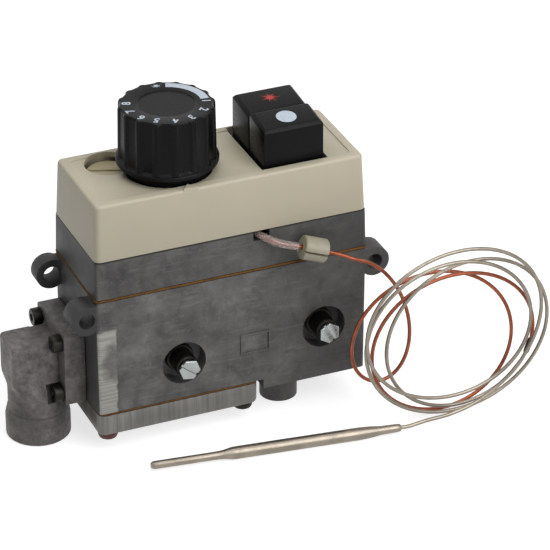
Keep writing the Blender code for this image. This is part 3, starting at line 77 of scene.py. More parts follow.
# The valve's own axes: x along the body from its middle, y from its middle, z from the floor.
MIDDLE = Vector(((COVER_LOW.x + COVER_HIGH.x) / 2, (COVER_LOW.y + COVER_HIGH.y) / 2, 0))


def at(x, y, z):
    """A point of the valve, given in millimetres, in the frame that the solids share."""
    return MIDDLE + Vector((x, y, z)) * MM


def colour(code):
    """Turns an sRGB hex colour into the linear values that shaders take."""
    channels = [int(code[i : i + 2], 16) / 255 for i in (1, 3, 5)]
    return tuple(c / 12.92 if c <= 0.04045 else ((c + 0.055) / 1.055) ** 2.4 for c in channels)


# ---- sizes and colours that can be changed ----------------------------------------------------
def length(name, description, millimetres):
    """A length that can be changed, with its default in millimetres."""
    return bpy.props.FloatProperty(
        name=name, description=description, default=millimetres * MM,
        min=0.0, subtype="DISTANCE", unit="LENGTH", precision=5,
    )


def tint(name, description, code):
    """A colour that can be changed, with its default as an sRGB hex code."""
    return bpy.props.FloatVectorProperty(
        name=name, description=description, default=colour(code),
        min=0.0, max=1.0, size=3, subtype="COLOR",
    )


class ValveSizes(bpy.types.PropertyGroup):
    edge: length("Casting edges", "Radius of the rounded edges of the castings", 0.45)
    cover_corner: length("Cover corners", "Radius of the cover's upright corners", 2.4)
    cover_fillet: length("Cover top edge", "Radius of the cover's top edge", 1.1)
    knob_flute: length("Knob flutes", "Depth of the flutes round the knob", 0.9)
    button_chamfer: length("Button chamfer", "Width of the chamfer round a button's top", 1.3)
    digit: length("Digits", "Type size of the digits on the knob", 4.6)
    sleeve: length("Sleeve", "Outer diameter of the clear sleeve", 3.0)


class ValveColours(bpy.types.PropertyGroup):
    cover: tint("Cover", "Beige of the moulded cover", "#B9B19C")
    casting: tint("Castings", "Grey of the die castings", "#5B5A59")
    elbow: tint("Elbow", "Grey of the inlet elbow", "#6B6765")
    plate: tint("Bottom plate", "Grey of the bottom plate", "#787672")
    gasket: tint("Gasket", "Brown of the fibre gaskets", "#6B4A26")
    knob: tint("Knob and buttons", "Black of the knob and the buttons", "#0C0C0D")
    marking: tint("Markings", "Pale ink of the markings", "#BEC9D4")
    flame: tint("Flame mark", "Red ink of the ignition mark", "#AC2F26")
    copper: tint("Copper", "Colour of the copper capillary", "#884C37")
    steel: tint("Steel capillary", "Colour of the steel capillary", "#877F74")


# ---- finishes ---------------------------------------------------------------------------------
def add_node(tree, kind, inputs=None, out=0, stops=(), **settings):
    """Adds a shader node with its settings and links, and returns one of its outputs.

    An input takes a value or another node's output. A colour ramp also takes its stops.
    """
    node = tree.nodes.new(f"ShaderNode{kind}")
    for key, value in settings.items():
        setattr(node, key, value)
    for name, value in (inputs or {}).items():
        if isinstance(value, bpy.types.NodeSocket):
            tree.links.new(value, node.inputs[name])
        else:
            node.inputs[name].default_value = value
    for index, (position, value) in enumerate(stops):
        if index > 1:
            node.color_ramp.elements.new(position)
        node.color_ramp.elements[index].position = position
        node.color_ramp.elements[index].color = (*value, 1)
    return node.outputs[out]


def new_finish(name, **plain):
    """A material, the call that adds nodes to it, and its piece's Object coordinates."""
    finish = bpy.data.materials.new(name)
    finish.use_nodes = True
    for socket, value in plain.items():
        finish.node_tree.nodes["Principled BSDF"].inputs[socket.replace("_", " ")].default_value = value
    add = partial(add_node, finish.node_tree)
    return finish, add, add("TexCoord", out="Object")


def join_up(finish, tone, gloss=None, bumps=None):
    """Links the colour, the roughness and the bumps to the shader, and returns the material."""
    shader = finish.node_tree.nodes["Principled BSDF"]
    for name, pattern in (("Base Color", tone), ("Roughness", gloss), ("Normal", bumps)):
        if pattern is not None:
            finish.node_tree.links.new(pattern, shader.inputs[name])
    return finish


def shade(value, share):
    """A darker or lighter version of a linear colour."""
    return tuple(min(1.0, c * share) for c in value)


def shades(base, *stops):
    """The stops of a ramp that runs through shares of one colour."""
    return [(position, shade(base, share)) for position, share in stops]


def lay_over(add, skin, base, *coats):
    """Lays coats over a skin, each with how much of it lies there and its share of the colour."""
    for amount, share in coats:
        skin = add("Mix", {0: amount, 6: skin, 7: (*shade(base, share), 1)}, out=2, data_type="RGBA")
    return skin


def between(value, first, last, low, high):
    """The inputs that turn a value from first to last into a level from low to high."""
    return {"Value": value, "From Min": first, "From Max": last, "To Min": low, "To Max": high}


def spread(grain, roughness):
    """The levels between which a surface's roughness wanders with its grain."""
    return between(grain, 0.3, 0.7, roughness - 0.05, roughness + 0.07)


def blotches(where, size_mm, detail, roughness=0.5):
    """The inputs of a pattern whose blotches are about this big, on coordinates in metres."""
    return {"Vector": where, "Scale": 1000 / size_mm, "Detail": detail, "Roughness": roughness}


def even_skin(name, base, roughness, contrast, patches, grains, depth_mm, **plain):
    """An even colour in large patches, and a fine grain; both are given as blotches takes them."""
    finish, add, where = new_finish(name, **plain)
    mottle = add("TexNoise", blotches(where, *patches))
    stops = shades(base, (0.3, 1 - contrast), (0.7, 1 + contrast))
    tone = add("ValToRGB", {"Fac": mottle}, stops=stops)
    grain = add("TexNoise", blotches(where, *grains))
    gloss = add("MapRange", spread(grain, roughness))
    bumps = add("Bump", {"Height": grain, "Distance": depth_mm * MM})
    return join_up(finish, tone, gloss, bumps)


def moulded_plastic(name, base, roughness, contrast, depth_mm, level=0.5):
    """Injection-moulded plastic: an even colour with a faint mottle, and a fine spark-eroded grain.

    The real grain is about 0.1 mm. It is drawn at 0.8 mm, as coarse as it needs to be to show.
    """
    plain = {"IOR": 1.5, "Specular_IOR_Level": level}
    return even_skin(name, base, roughness, contrast, (14, 4), (0.8, 2), depth_mm, **plain)


def die_cast_aluminium(name, base, ground=False):
    """Raw die casting: dull grey with cold-flow clouds, dark handling stains and a few pale scuffs.

    The left end is darkest, with painted shade; an oily film grows towards the outlet, and a band of
    painted shadow lies along the seam under the cover.
    """
    finish, add, where = new_finish(name, Metallic=0.22, Specular_IOR_Level=0.35)
    clouds = add("TexNoise", blotches(where, 17, 7, 0.68))
    stops = shades(base, (0.3, 0.42), (0.44, 0.85), (0.55, 1.1), (0.7, 1.75))
    tone = add("ValToRGB", {"Fac": clouds}, stops=stops)
    flow = add("Mapping", {"Vector": where, "Scale": (1, 1, 0.7)})
    smears = add("TexNoise", blotches(flow, 9, 6, 0.7) | {"Distortion": 0.8})
    stains = add("MapRange", between(smears, 0.48, 0.7, 0, 0.7))
    pits = add("TexNoise", blotches(where, 1.2, 3))
    specks = add("MapRange", between(pits, 0.62, 0.74, 0, 0.3))
    drawn = add("Mapping", {"Vector": where, "Scale": (0.2, 0.2, 1.5)})
    lines = add("TexNoise", blotches(drawn, 2.4, 6, 0.7))
    scuffs = add("MapRange", between(lines, 0.54, 0.72, 0, 0.34))
    axes = add("SeparateXYZ", {"Vector": where}).node.outputs
    clean, oily = at(5, 0, 0).x, at(50, 0, 0).x
    outlet = add("MapRange", between(axes["X"], clean, oily, 0, 0.55))
    # Painted shade: the left end faces are darkened, for the elbow's shadow and a dark reflection there.
    end, front = at(-55.3, 0, 0).x, at(-54.2, 0, 0).x
    left_end_painted_shade = add("MapRange", between(axes["X"], end, front, 0.88, 0))
    # Painted shadow: the top of the upper casting is darkened under the cover's overhang.
    seam = COVER_LOW.z - 0.6 * MM
    darkening_with_painted_shade = add("MapRange", between(axes["Z"], seam - 0.3 * MM, seam, 0, 0.92))
    # The outlet's oily film, with the painted shade of the left end and the painted shadow under the
    # cover.
    oil_and_left_painted_shade = add("Math", {0: outlet, 1: left_end_painted_shade}, operation="MAXIMUM")
    oil_and_painted_shade = add("Math", {0: oil_and_left_painted_shade, 1: darkening_with_painted_shade}, operation="MAXIMUM")
    skin = lay_over(add, tone, base, (stains, 0.4), (specks, 2.0), (scuffs, 2.2), (oil_and_painted_shade, 0.25))
    if ground:
        amount, streaks = ground_patch(add, where, axes)
        skin = add("Mix", {0: amount, 6: skin, 7: streaks}, out=2, data_type="RGBA")
    gloss = add("MapRange", between(clouds, 0.3, 0.7, 0.46, 0.66))
    ripple = add("Bump", {"Height": clouds, "Distance": 0.3 * MM})
    bumps = add("Bump", {"Height": pits, "Distance": 0.03 * MM, "Normal": ripple})
    return join_up(finish, skin, gloss, bumps)


def ground_patch(add, where, axes):
    """Where and how bright the strip is that was ground with a belt: pale, with finer streaks.

    It ends at the body's edge and under the lug, and hands have rubbed one spot of it grey again.
    """
    rag = add("TexNoise", blotches(where, 3, 3))
    ragged = add("Math", {0: rag, 1: 2.2 * MM}, operation="MULTIPLY")
    left, right, top, front = at(-55, 0, 0).x, at(-46.8, 0, 0).x, at(0, 0, 55.4).z, at(0, -21.9, 0).y
    across = add("Math", {0: axes["X"], 1: ragged}, operation="ADD")
    height = add("Math", {0: axes["Z"], 1: ragged}, operation="ADD")
    amount = add("MapRange", between(axes["X"], left, left - 0.2 * MM, 1, 0))
    for place, limit, soft in ((across, right, 0.6), (height, top, 0.9), (axes["Y"], front, 0.3)):
        inside = add("MapRange", between(place, limit, limit + soft * MM, 1, 0))
        amount = add("Math", {0: amount, 1: inside}, operation="MULTIPLY")
    spot, wide, high = at(-49, 0, 41), 4.5 * MM, 8 * MM
    from_spot = {"Location": (-spot.x / wide, 0, -spot.z / high), "Scale": (1 / wide, 0, 1 / high)}
    rubbed = add("Mapping", {"Vector": where, **from_spot})
    reach = add("VectorMath", {0: rubbed}, out="Value", operation="LENGTH")
    uneven = add("Math", {0: reach, 1: rag}, operation="ADD")
    kept = add("MapRange", between(uneven, 1.1, 1.8, 0.15, 0.92))
    amount = add("Math", {0: amount, 1: kept}, operation="MULTIPLY")
    belt = add("Mapping", {"Vector": where, "Scale": (0.12, 1, 4)})
    lines = add("TexNoise", blotches(belt, 2.2, 3))
    stops = ((0.35, colour("#8D8D86")), (0.65, colour("#ABABA3")))
    return amount, add("ValToRGB", {"Fac": lines}, stops=stops)


def sand_cast_aluminium(name, base):
    """Sand casting: a coarser skin than the die castings, a warmer grey with soot and rubbed spots.

    Foundry sand leaves grains of about 0.4 mm; they are drawn at 0.9 mm so that they show. The lower
    end, where a pipe is screwed in, is darker with grease, and a thin line of painted shade along its
    collar's top edge stands for the shade of the step there.
    """
    finish, add, where = new_finish(name, Metallic=0.3, Specular_IOR_Level=0.4)
    clouds = add("TexNoise", blotches(where, 6, 8, 0.72))
    stops = shades(base, (0.34, 0.4), (0.46, 0.8), (0.58, 1.12), (0.7, 1.8))
    tone = add("ValToRGB", {"Fac": clouds}, stops=stops)
    sand = add("TexNoise", blotches(where, 0.9, 3, 0.7))
    grit = add("MapRange", between(sand, 0.45, 0.7, 0, 0.35))
    height = add("SeparateXYZ", {"Vector": where}, out="Z")
    grease = add("MapRange", between(height, 14 * MM, 27 * MM, 0.42, 0))
    # Painted shade: a thin dark line at the collar's top edge stands for the shade of the step there.
    above_collar = add("Math", {0: height, 1: 11.8 * MM}, operation="SUBTRACT")
    from_edge = add("Math", {0: above_collar}, operation="ABSOLUTE")
    collar_edge_painted_shade = add("MapRange", between(from_edge, 0.2 * MM, 0.6 * MM, 0.75, 0))
    # Grease, together with the painted shade at the collar's edge.
    darkening_with_painted_shade = add("Math", {0: grease, 1: collar_edge_painted_shade}, operation="MAXIMUM")
    skin = lay_over(add, tone, base, (grit, 0.5), (darkening_with_painted_shade, 0.25))
    gloss = add("MapRange", between(clouds, 0.3, 0.7, 0.62, 0.42))
    ripple = add("Bump", {"Height": clouds, "Distance": 0.5 * MM})
    bumps = add("Bump", {"Height": sand, "Distance": 0.035 * MM, "Normal": ripple})
    return join_up(finish, skin, gloss, bumps)


def milled_plate(name, base):
    """Extruded bar, cut and milled: fine upright tool lines round its edge, 1 mm apart."""
    finish, add, where = new_finish(name, Metallic=0.5)
    upright = add("Mapping", {"Vector": where, "Scale": (1, 1, 0.03)})
    lines = add("TexNoise", blotches(upright, 1.1, 2))
    tone = add("ValToRGB", {"Fac": lines}, stops=shades(base, (0.3, 0.68), (0.7, 1.3)))
    clouds = add("TexNoise", blotches(where, 18, 4))
    stain = add("MapRange", between(clouds, 0.4, 0.7, 0, 0.6))
    skin = lay_over(add, tone, base, (stain, 0.7))
    gloss = add("MapRange", between(lines, 0.3, 0.7, 0.42, 0.6))
    bumps = add("Bump", {"Height": lines, "Distance": 0.05 * MM})
    return join_up(finish, skin, gloss, bumps)


def gasket_fibre(name, base):
    """Pressed fibre sheet: short dark and light fibres, quite dull."""
    finish, add, where = new_finish(name, IOR=1.45, Roughness=0.85, Specular_IOR_Level=0.2)
    felted = add("Mapping", {"Vector": where, "Scale": (0.5, 0.5, 2)})
    fibres = add("TexNoise", blotches(felted, 1.2, 5, 0.7))
    tone = add("ValToRGB", {"Fac": fibres}, stops=shades(base, (0.3, 0.5), (0.5, 1.0), (0.72, 1.4)))
    bumps = add("Bump", {"Height": fibres, "Distance": 0.08 * MM})
    return join_up(finish, tone, bumps=bumps)


def bright_metal(name, base, roughness, grain_mm=3.0, contrast=0.15):
    """Plated, drawn or turned metal: clean reflections, with a faint tarnish in patches."""
    patches, grains = (3 * grain_mm, 3), (grain_mm, 3)
    return even_skin(name, base, roughness, contrast, patches, grains, 0.004, Metallic=1.0)


def printed_ink(name, base):
    """Hot-stamped ink: flat, and slightly uneven where the foil took less well."""
    finish, add, where = new_finish(name, IOR=1.48, Roughness=0.5)
    patch = add("TexNoise", blotches(where, 1, 2))
    tone = add("ValToRGB", {"Fac": patch}, stops=shades(base, (0.3, 0.9), (0.7, 1.03)))
    return join_up(finish, tone)


def clear_plastic(name, base, roughness, share, ior):
    """Extruded soft tube or natural nylon: part of the light passes straight through a milky haze."""
    finish, add, where = new_finish(name, IOR=ior, Transmission_Weight=share)
    haze = add("TexNoise", blotches(where, 2, 2))
    tone = add("ValToRGB", {"Fac": haze}, stops=shades(base, (0.3, 0.92), (0.7, 1.04)))
    gloss = add("MapRange", spread(haze, roughness))
    return join_up(finish, tone, gloss)


FINISHES = {}


def make_finishes(colours):
    """Makes every finish of the valve once."""
    FINISHES.update(
        cover=moulded_plastic("abs_moulded_beige", colours.cover, 0.5, 0.02, 0.006),
        knob=moulded_plastic("nylon_moulded_black", colours.knob, 0.3, 0.15, 0.006, 0.1),
        ivory=moulded_plastic("acetal_moulded_ivory", colour("#B0A484"), 0.45, 0.04, 0.006),
        rubber=moulded_plastic("nitrile_rubber_moulded", colour("#1E1E1E"), 0.7, 0.1, 0.01),
        lower=die_cast_aluminium("aluminium_die_cast_part_ground", colours.casting, ground=True),
        upper=die_cast_aluminium("aluminium_die_cast", shade(colours.casting, 0.85)),
        elbow=sand_cast_aluminium("aluminium_sand_cast", colours.elbow),
        plate=milled_plate("aluminium_bar_milled", colours.plate),
        gasket=gasket_fibre("gasket_fibre_pressed", colours.gasket),
        black_steel=bright_metal("steel_blackened", colour("#2B2A27"), 0.42),
        zinc=bright_metal("steel_zinc_plated", colour("#9A9F9E"), 0.28, 1.5, 0.12),
        spring=bright_metal("spring_wire_drawn", colour("#8A8A8C"), 0.35),
        brass=bright_metal("brass_turned", colour("#B29A62"), 0.3, 1.0),
        copper=bright_metal("copper_drawn", colours.copper, 0.34, 2.0, 0.25),
        steel=bright_metal("stainless_steel_drawn", colours.steel, 0.34, 2.0, 0.15),
        braze=bright_metal("brazing_alloy_oxidised", colour("#3E332D"), 0.5, 1.0, 0.3),
        sleeve=clear_plastic("silicone_extruded_clear", colour("#E0D0CA"), 0.18, 0.85, 1.42),
        nylon=clear_plastic("nylon_moulded_natural", colour("#B4AE98"), 0.35, 0.35, 1.5),
        marking=printed_ink("ink_stamped_pale_blue", colours.marking),
        flame=printed_ink("ink_stamped_red", colours.flame),
        sealing=printed_ink("sealing_paint_red", colour("#4C1614")),
    )


# ---- places that pieces share, in millimetres --------------------------------------------------
WALL = 1.9
COVER_TOP = 107.5
KNOB_X = -17.2
KNOB_FOOT = 108.5
PRINT_LIFT = 0.025
PRINT_THICKNESS = 0.04


# ---- modelling steps --------------------------------------------------------------------------
def clear_selection():
    """Leaves edit mode, with nothing selected."""
    if bpy.context.object and bpy.context.object.mode != "OBJECT":
        bpy.ops.object.mode_set(mode="OBJECT")
    bpy.ops.object.select_all(action="DESELECT")


def take(piece):
    """Makes one object the selected and active one."""
    clear_selection()
    piece.select_set(True)
    bpy.context.view_layer.objects.active = piece
    return piece


def edit(piece):
    """Opens one object in edit mode, with all of it selected."""
    take(piece)
    bpy.ops.object.mode_set(mode="EDIT")
    bpy.ops.mesh.select_all(action="SELECT")


def pick(piece, test, kind="FACE"):
    """Opens edit mode with the faces, edges or points selected that pass a test, and no others.

    The test gets an item's middle and its normal, or an edge's direction. The next step that takes a
    piece leaves edit mode again.
    """
    take(piece)
    mesh = piece.data
    groups = {"VERT": mesh.vertices, "EDGE": mesh.edges, "FACE": mesh.polygons}
    for group in groups.values():
        group.foreach_set("select", [False] * len(group))
    for item in groups[kind]:
        if kind == "EDGE":
            a, b = (mesh.vertices[i].co for i in item.vertices)
            item.select = test((a + b) / 2, (b - a).normalized())
        else:
            item.select = test(item.co if kind == "VERT" else item.center, item.normal)
    bpy.ops.object.mode_set(mode="EDIT")
    bpy.ops.mesh.select_mode(type=kind)


def put(piece, where=(0, 0, 0), turn=(0, 0, 0)):
    """Moves a piece to its place, and leaves that place in its mesh."""
    take(piece)
    piece.location = where
    piece.rotation_euler = turn
    bpy.ops.object.transform_apply(location=True, rotation=True, scale=True)
    return piece


def copies(piece, count):
    """The piece and copies of it, each with its own mesh."""
    made = [piece]
    while len(made) < count:
        take(piece)
        bpy.ops.object.duplicate()
        made.append(bpy.context.object)
    return made


def modify(piece, kind, **settings):
    """Adds one modifier and applies it."""
    take(piece)
    made = piece.modifiers.new(kind.lower(), kind)
    for key, value in settings.items():
        setattr(made, key, value)
    bpy.ops.object.modifier_apply(modifier=made.name)


def cut(piece, *tools, operation="DIFFERENCE"):
    """Cuts tools out of a piece or joins them on, and removes the tools."""
    for tool in tools:
        modify(piece, "BOOLEAN", operation=operation, solver="EXACT", object=tool)
        bpy.data.objects.remove(tool)


def round_edges(piece, width_mm, segments=2, angle=32.0):
    """Rounds every edge that is sharper than an angle in degrees."""
    limit = {"limit_method": "ANGLE", "angle_limit": math.radians(angle), "use_clamp_overlap": True}
    modify(piece, "BEVEL", width=width_mm * MM, segments=segments, **limit)


def mend(piece):
    """Merges doubles and turns every face outwards."""
    edit(piece)
    bpy.ops.mesh.remove_doubles(threshold=0.002 * MM)
    bpy.ops.mesh.normals_make_consistent(inside=False)
    bpy.ops.object.mode_set(mode="OBJECT")


def finish_piece(piece, name, finish, body="housing", stands_for=(), angle=32.0):
    """Names a piece, gives it its finish and body, and hides the solids that it stands for."""
    take(piece)
    piece.name = name
    piece.data.name = name
    piece.data.materials.clear()
    piece.data.materials.append(FINISHES[finish])
    if piece.type == "MESH":
        bpy.ops.object.shade_smooth_by_angle(angle=math.radians(angle))
    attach(piece, body)
    if stands_for:
        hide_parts(*stands_for)
    clear_selection()
    return piece


def extrude(rise_mm):
    """Extrudes the selected faces along Z."""
    bpy.ops.mesh.extrude_region_move(TRANSFORM_OT_translate={"value": (0, 0, rise_mm * MM)})


def widen(share, share_y=None, middle=(0, 0, 0)):
    """Scales what is selected across Z, from a point."""
    bpy.ops.transform.resize(value=(share, share_y or share, 1), center_override=middle)


def hollow(piece, wall_mm, depth_mm):
    """Opens a piece from its foot, up to a depth, and leaves a wall."""
    take(piece)
    foot = min(vertex.co.z for vertex in piece.data.vertices)
    pick(piece, lambda c, n: n.z < -0.9 and c.z < foot + 0.1 * MM)
    bpy.ops.mesh.inset(thickness=wall_mm * MM)
    extrude(depth_mm)


def disc(vertices, radius_mm, fill="NGON"):
    """A flat disc, or a ring of edges only."""
    clear_selection()
    bpy.ops.mesh.primitive_circle_add(vertices=vertices, radius=radius_mm * MM, fill_type=fill)
    return bpy.context.object


def ring_stack(rings, vertices=48, turn=0.0):
    """A turned body along +Z: a disc that is extruded and scaled from ring to ring of (radius, z)."""
    piece = put(disc(vertices, rings[0][0]), (0, 0, rings[0][1] * MM), (0, 0, turn))
    edit(piece)
    for (r0, z0), (r1, z1) in zip(rings, rings[1:]):
        extrude(z1 - z0)
        if r1 != r0:
            widen(r1 / r0, middle=(0, 0, z1 * MM))
    mend(piece)
    return piece


def block(x, y, z, start=(0, 0, 0)):
    """A plain block as a start or a cutter, given by its limits in millimetres from a point."""
    clear_selection()
    middle = Vector(start) + Vector([(a + b) / 2 for a, b in (x, y, z)]) * MM
    bpy.ops.mesh.primitive_cube_add(size=1.0, location=middle)
    piece = bpy.context.object
    piece.scale = [(b - a) * MM for a, b in (x, y, z)]
    bpy.ops.object.transform_apply(location=True, rotation=True, scale=True)
    return piece


def dressed(node, name, finish, edge_mm, segments=2, angle=32.0):
    """A finer copy of a solid: doubles merged, flat faces joined up and its edges rounded."""
    source = frame["nodes"][node]
    body = source["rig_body"]
    take(source)
    bpy.ops.object.duplicate()
    piece = bpy.context.object
    del piece["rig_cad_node"]
    piece.parent = None
    edit(piece)
    bpy.ops.mesh.remove_doubles(threshold=0.01 * MM)
    bpy.ops.mesh.dissolve_limited(angle_limit=math.radians(1.0))
    if edge_mm:
        round_edges(piece, edge_mm, segments, angle)
    return finish_piece(piece, name, finish, body, (node,), angle)


# ---- the capillary's route, as the solids have it ---------------------------------------------
BUSH_START = (25.7, -28.4, 77.5)
BUSH_END = (34.9, -29.4, 74.2)
LEAD_ROUTE = (
    (9.9, -16.6, 82.3), (10.9, -20.2, 82.25), (12.2, -22.9, 82.0), (15.4, -25.6, 80.7),
    (20.0, -27.4, 79.1), BUSH_START, BUSH_END, (41.6, -30.5, 71.5),
)
TURNS = (
    (45.0, 48.5, 13.0, 20.5),
    (75.5, 31.5, 29.0, 29.0),
    (82.0, 31.5, 32.5, 29.0),
    (88.5, 34.5, 34.5, 32.0),
    (78.5, 35.5, 36.5, 33.0),
    (78.5, 44.5, 35.5, 30.0),
    (77.5, 45.5, 51.5, 55.0),
)
TURN_DEPTHS = ((0.0, -31.5), (0.5, -34.5), (1.5, -42.2), (5.5, -51.0))
COPPER_TURNS = (0.04, 2.28)
STEEL_TURNS = (2.335, 5.35)
TAIL_ROUTE = ((102.4, -50.9, 13.6), (91.4, -51.1, 6.7), (79.5, -51.3, 3.5), (69.0, -51.4, 3.0))
BULB_START = Vector((57.6, -51.4, 2.5))
BULB_END = Vector((-41.0, -39.0, 2.5))
JOINT_GAP = 0.3
TUBE_MM = 1.5


def curve_between(a, b, c, d, u):
    """The place at a share u of the way from b to c, on a smooth curve through a, b, c and d."""
    bend = (2 * a - 5 * b + 4 * c - d) * u * u + (3 * b - a - 3 * c + d) * u**3
    return 0.5 * (2 * b + (c - a) * u + bend)


def smooth_route(points, spacing):
    """Points on a smooth curve through the route, about a given distance apart."""
    points = [Vector(p) for p in points]
    padded = [2 * points[0] - points[1], *points, 2 * points[-1] - points[-2]]
    fine = []
    for four in zip(padded, padded[1:], padded[2:], padded[3:]):
        fine += [curve_between(*four, step / 20) for step in range(20)]
    fine.append(points[-1])
    run = np.cumsum([0.0] + [(q - p).length for p, q in zip(fine, fine[1:])])
    count = max(2, round(run[-1] / spacing))
    table = np.array([tuple(p) for p in fine])
    even = np.linspace(0, run[-1], count + 1)
    return [Vector([float(np.interp(s, run, table[:, k])) for k in range(3)]) for s in even]


def turn_value(column, turn):
    """A size of the wound tube at any turn, on a smooth curve through the rows of TURNS."""
    values = [row[column] for row in TURNS]
    k = min(int(turn), len(values) - 2)
    four = (values[min(max(i, 0), len(values) - 1)] for i in (k - 1, k, k + 1, k + 2))
    return curve_between(*four, turn - k)


def turn_point(turn):
    """The wound tube's middle at a turn, counted clockwise from the top of the first loop."""
    angle = math.pi / 2 - 2 * math.pi * turn
    x = turn_value(0, turn) + turn_value(2, turn) * math.cos(angle)
    z = turn_value(1, turn) + turn_value(3, turn) * math.sin(angle)
    y = float(np.interp(turn, *zip(*TURN_DEPTHS)))
    return Vector((x, y, z))


def wound_points(first, last, per_turn=72):
    """Points along the turns, with a straight end one diameter long at each."""
    count = math.ceil((last - first) * per_turn)
    points = [turn_point(first + (last - first) * i / count) for i in range(count + 1)]
    lead_in = (points[0] - turn_point(first + 0.01)).normalized() * TUBE_MM
    lead_out = (points[-1] - turn_point(last - 0.01)).normalized() * TUBE_MM
    return [points[0] + lead_in, *points, points[-1] + lead_out]


def tube_curve(points, diameter_mm):
    """A round tube as a curve along points in millimetres."""
    curve = bpy.data.curves.new("tube", "CURVE")
    curve.dimensions = "3D"
    curve.bevel_depth = diameter_mm / 2 * MM
    curve.bevel_resolution = 4
    curve.use_fill_caps = True
    line = curve.splines.new("POLY")
    line.points.add(len(points) - 1)
    for knot, place in zip(line.points, points):
        knot.co = (*at(*place), 1.0)
    line.use_smooth = True
    piece = bpy.data.objects.new("tube", curve)
    bpy.context.scene.collection.objects.link(piece)
    return piece


def lay_along(piece, start, axis):
    """Turns a piece from +Z to an axis, and moves it to its start in millimetres."""
    put(piece, at(*start), axis.to_track_quat("Z", "Y").to_euler())


def capillary_lines():
    """The copper run from the casting's notch to the joint, and the steel run on to the bulb."""
    copper_turns = wound_points(*COPPER_TURNS)
    steel_turns = wound_points(*STEEL_TURNS)
    out = (copper_turns[0] - copper_turns[1]).normalized()
    end = copper_turns[0] + out * JOINT_GAP
    lead = smooth_route([*LEAD_ROUTE, end + out * TUBE_MM, end], 1.5)
    axis = (BULB_END - BULB_START).normalized()
    out = (steel_turns[-1] - steel_turns[-2]).normalized()
    tail_start = steel_turns[-1] + out * JOINT_GAP
    tail_end = BULB_START - axis * JOINT_GAP
    route = [tail_start, tail_start + out * TUBE_MM, *TAIL_ROUTE, tail_end - axis * 2 * TUBE_MM, tail_end]
    tail = smooth_route(route, 1.5)
    # The tube runs on inside the bulb, nearly to its tip.
    inside = [BULB_START, BULB_END - axis * 3]
    return [*lead, *copper_turns], [*steel_turns, *tail, *inside], lead


# ---- operators --------------------------------------------------------------------------------
class BuildStage(bpy.types.Operator):
    """Adds the floor, the soft studio lamps and the camera at the photograph's angle"""

    bl_idname = "gas_valve.stage"
    bl_label = "Stage and camera"

    # The camera as solved from the photograph: place in millimetres, tilt and turn, focal length.
    camera_place = (-433.9, -1085.2, 724.72)
    camera_turn = (math.radians(60.221), 0.0, math.radians(-22.998))
    focal_length = 229.1

    # Each lamp's name, place in millimetres, width in metres and power in watts.
    lamps = (
        ("key_lamp", (260, -620, 620), 0.75, 6.2),
        ("top_lamp", (-60, 120, 900), 0.9, 3.4),
        ("left_lamp", (-700, -260, 260), 0.6, 0.35),
    )

    def execute(self, context):
        clear_selection()
        scene = context.scene
        scene.view_settings.view_transform = "Standard"
        bpy.ops.object.camera_add(location=at(*self.camera_place), rotation=self.camera_turn)
        camera = context.object
        camera.data.lens = self.focal_length
        camera.data.sensor_width = 36.0
        camera.data.clip_start = 0.05
        camera.data.clip_end = 60.0
        scene.camera = camera

        bpy.ops.mesh.primitive_plane_add(size=12.0, location=(0, 0, -0.0002))
        floor = context.object
        floor.name = "floor"
        plain = {"Base_Color": (0.62, 0.62, 0.62, 1), "Roughness": 0.9, "Specular_IOR_Level": 0.0}
        finish, add, _ = new_finish("paper_sweep_white", **plain)
        tree = finish.node_tree
        glow = add("Emission", {"Strength": self.seen(tree, 0.0, 0.7)})
        total = add("AddShader", {0: tree.nodes["Principled BSDF"].outputs[0], 1: glow})
        tree.links.new(total, tree.nodes["Material Output"].inputs["Surface"])
        floor.data.materials.append(finish)

        world = bpy.data.worlds.new("studio")
        scene.world = world
        world.use_nodes = True
        tree = world.node_tree
        back = tree.nodes["Background"]
        back.inputs["Color"].default_value = (1, 1, 1, 1)
        tree.links.new(self.seen(tree, 0.13, 1.0), back.inputs["Strength"])

        aim = at(10, -10, 60)
        for name, where, size, power in self.lamps:
            bpy.ops.object.light_add(type="AREA", location=at(*where))
            lamp = context.object
            lamp.name = name
            lamp.data.shape = "SQUARE"
            lamp.data.size = size
            lamp.data.energy = power
            lamp.rotation_euler = (aim - lamp.location).to_track_quat("-Z", "Y").to_euler()
        clear_selection()
        return {"FINISHED"}

    @staticmethod
    def seen(tree, hidden, shown):
        """A strength for rays that the camera, a reflection or a clear piece sends, and for the rest."""
        path = add_node(tree, "LightPath").node.outputs
        rays = path["Is Camera Ray"]
        for kind in ("Is Glossy Ray", "Is Transmission Ray"):
            rays = add_node(tree, "Math", {0: rays, 1: path[kind]}, operation="MAXIMUM")
        return add_node(tree, "MapRange", between(rays, 0, 1, hidden, shown))


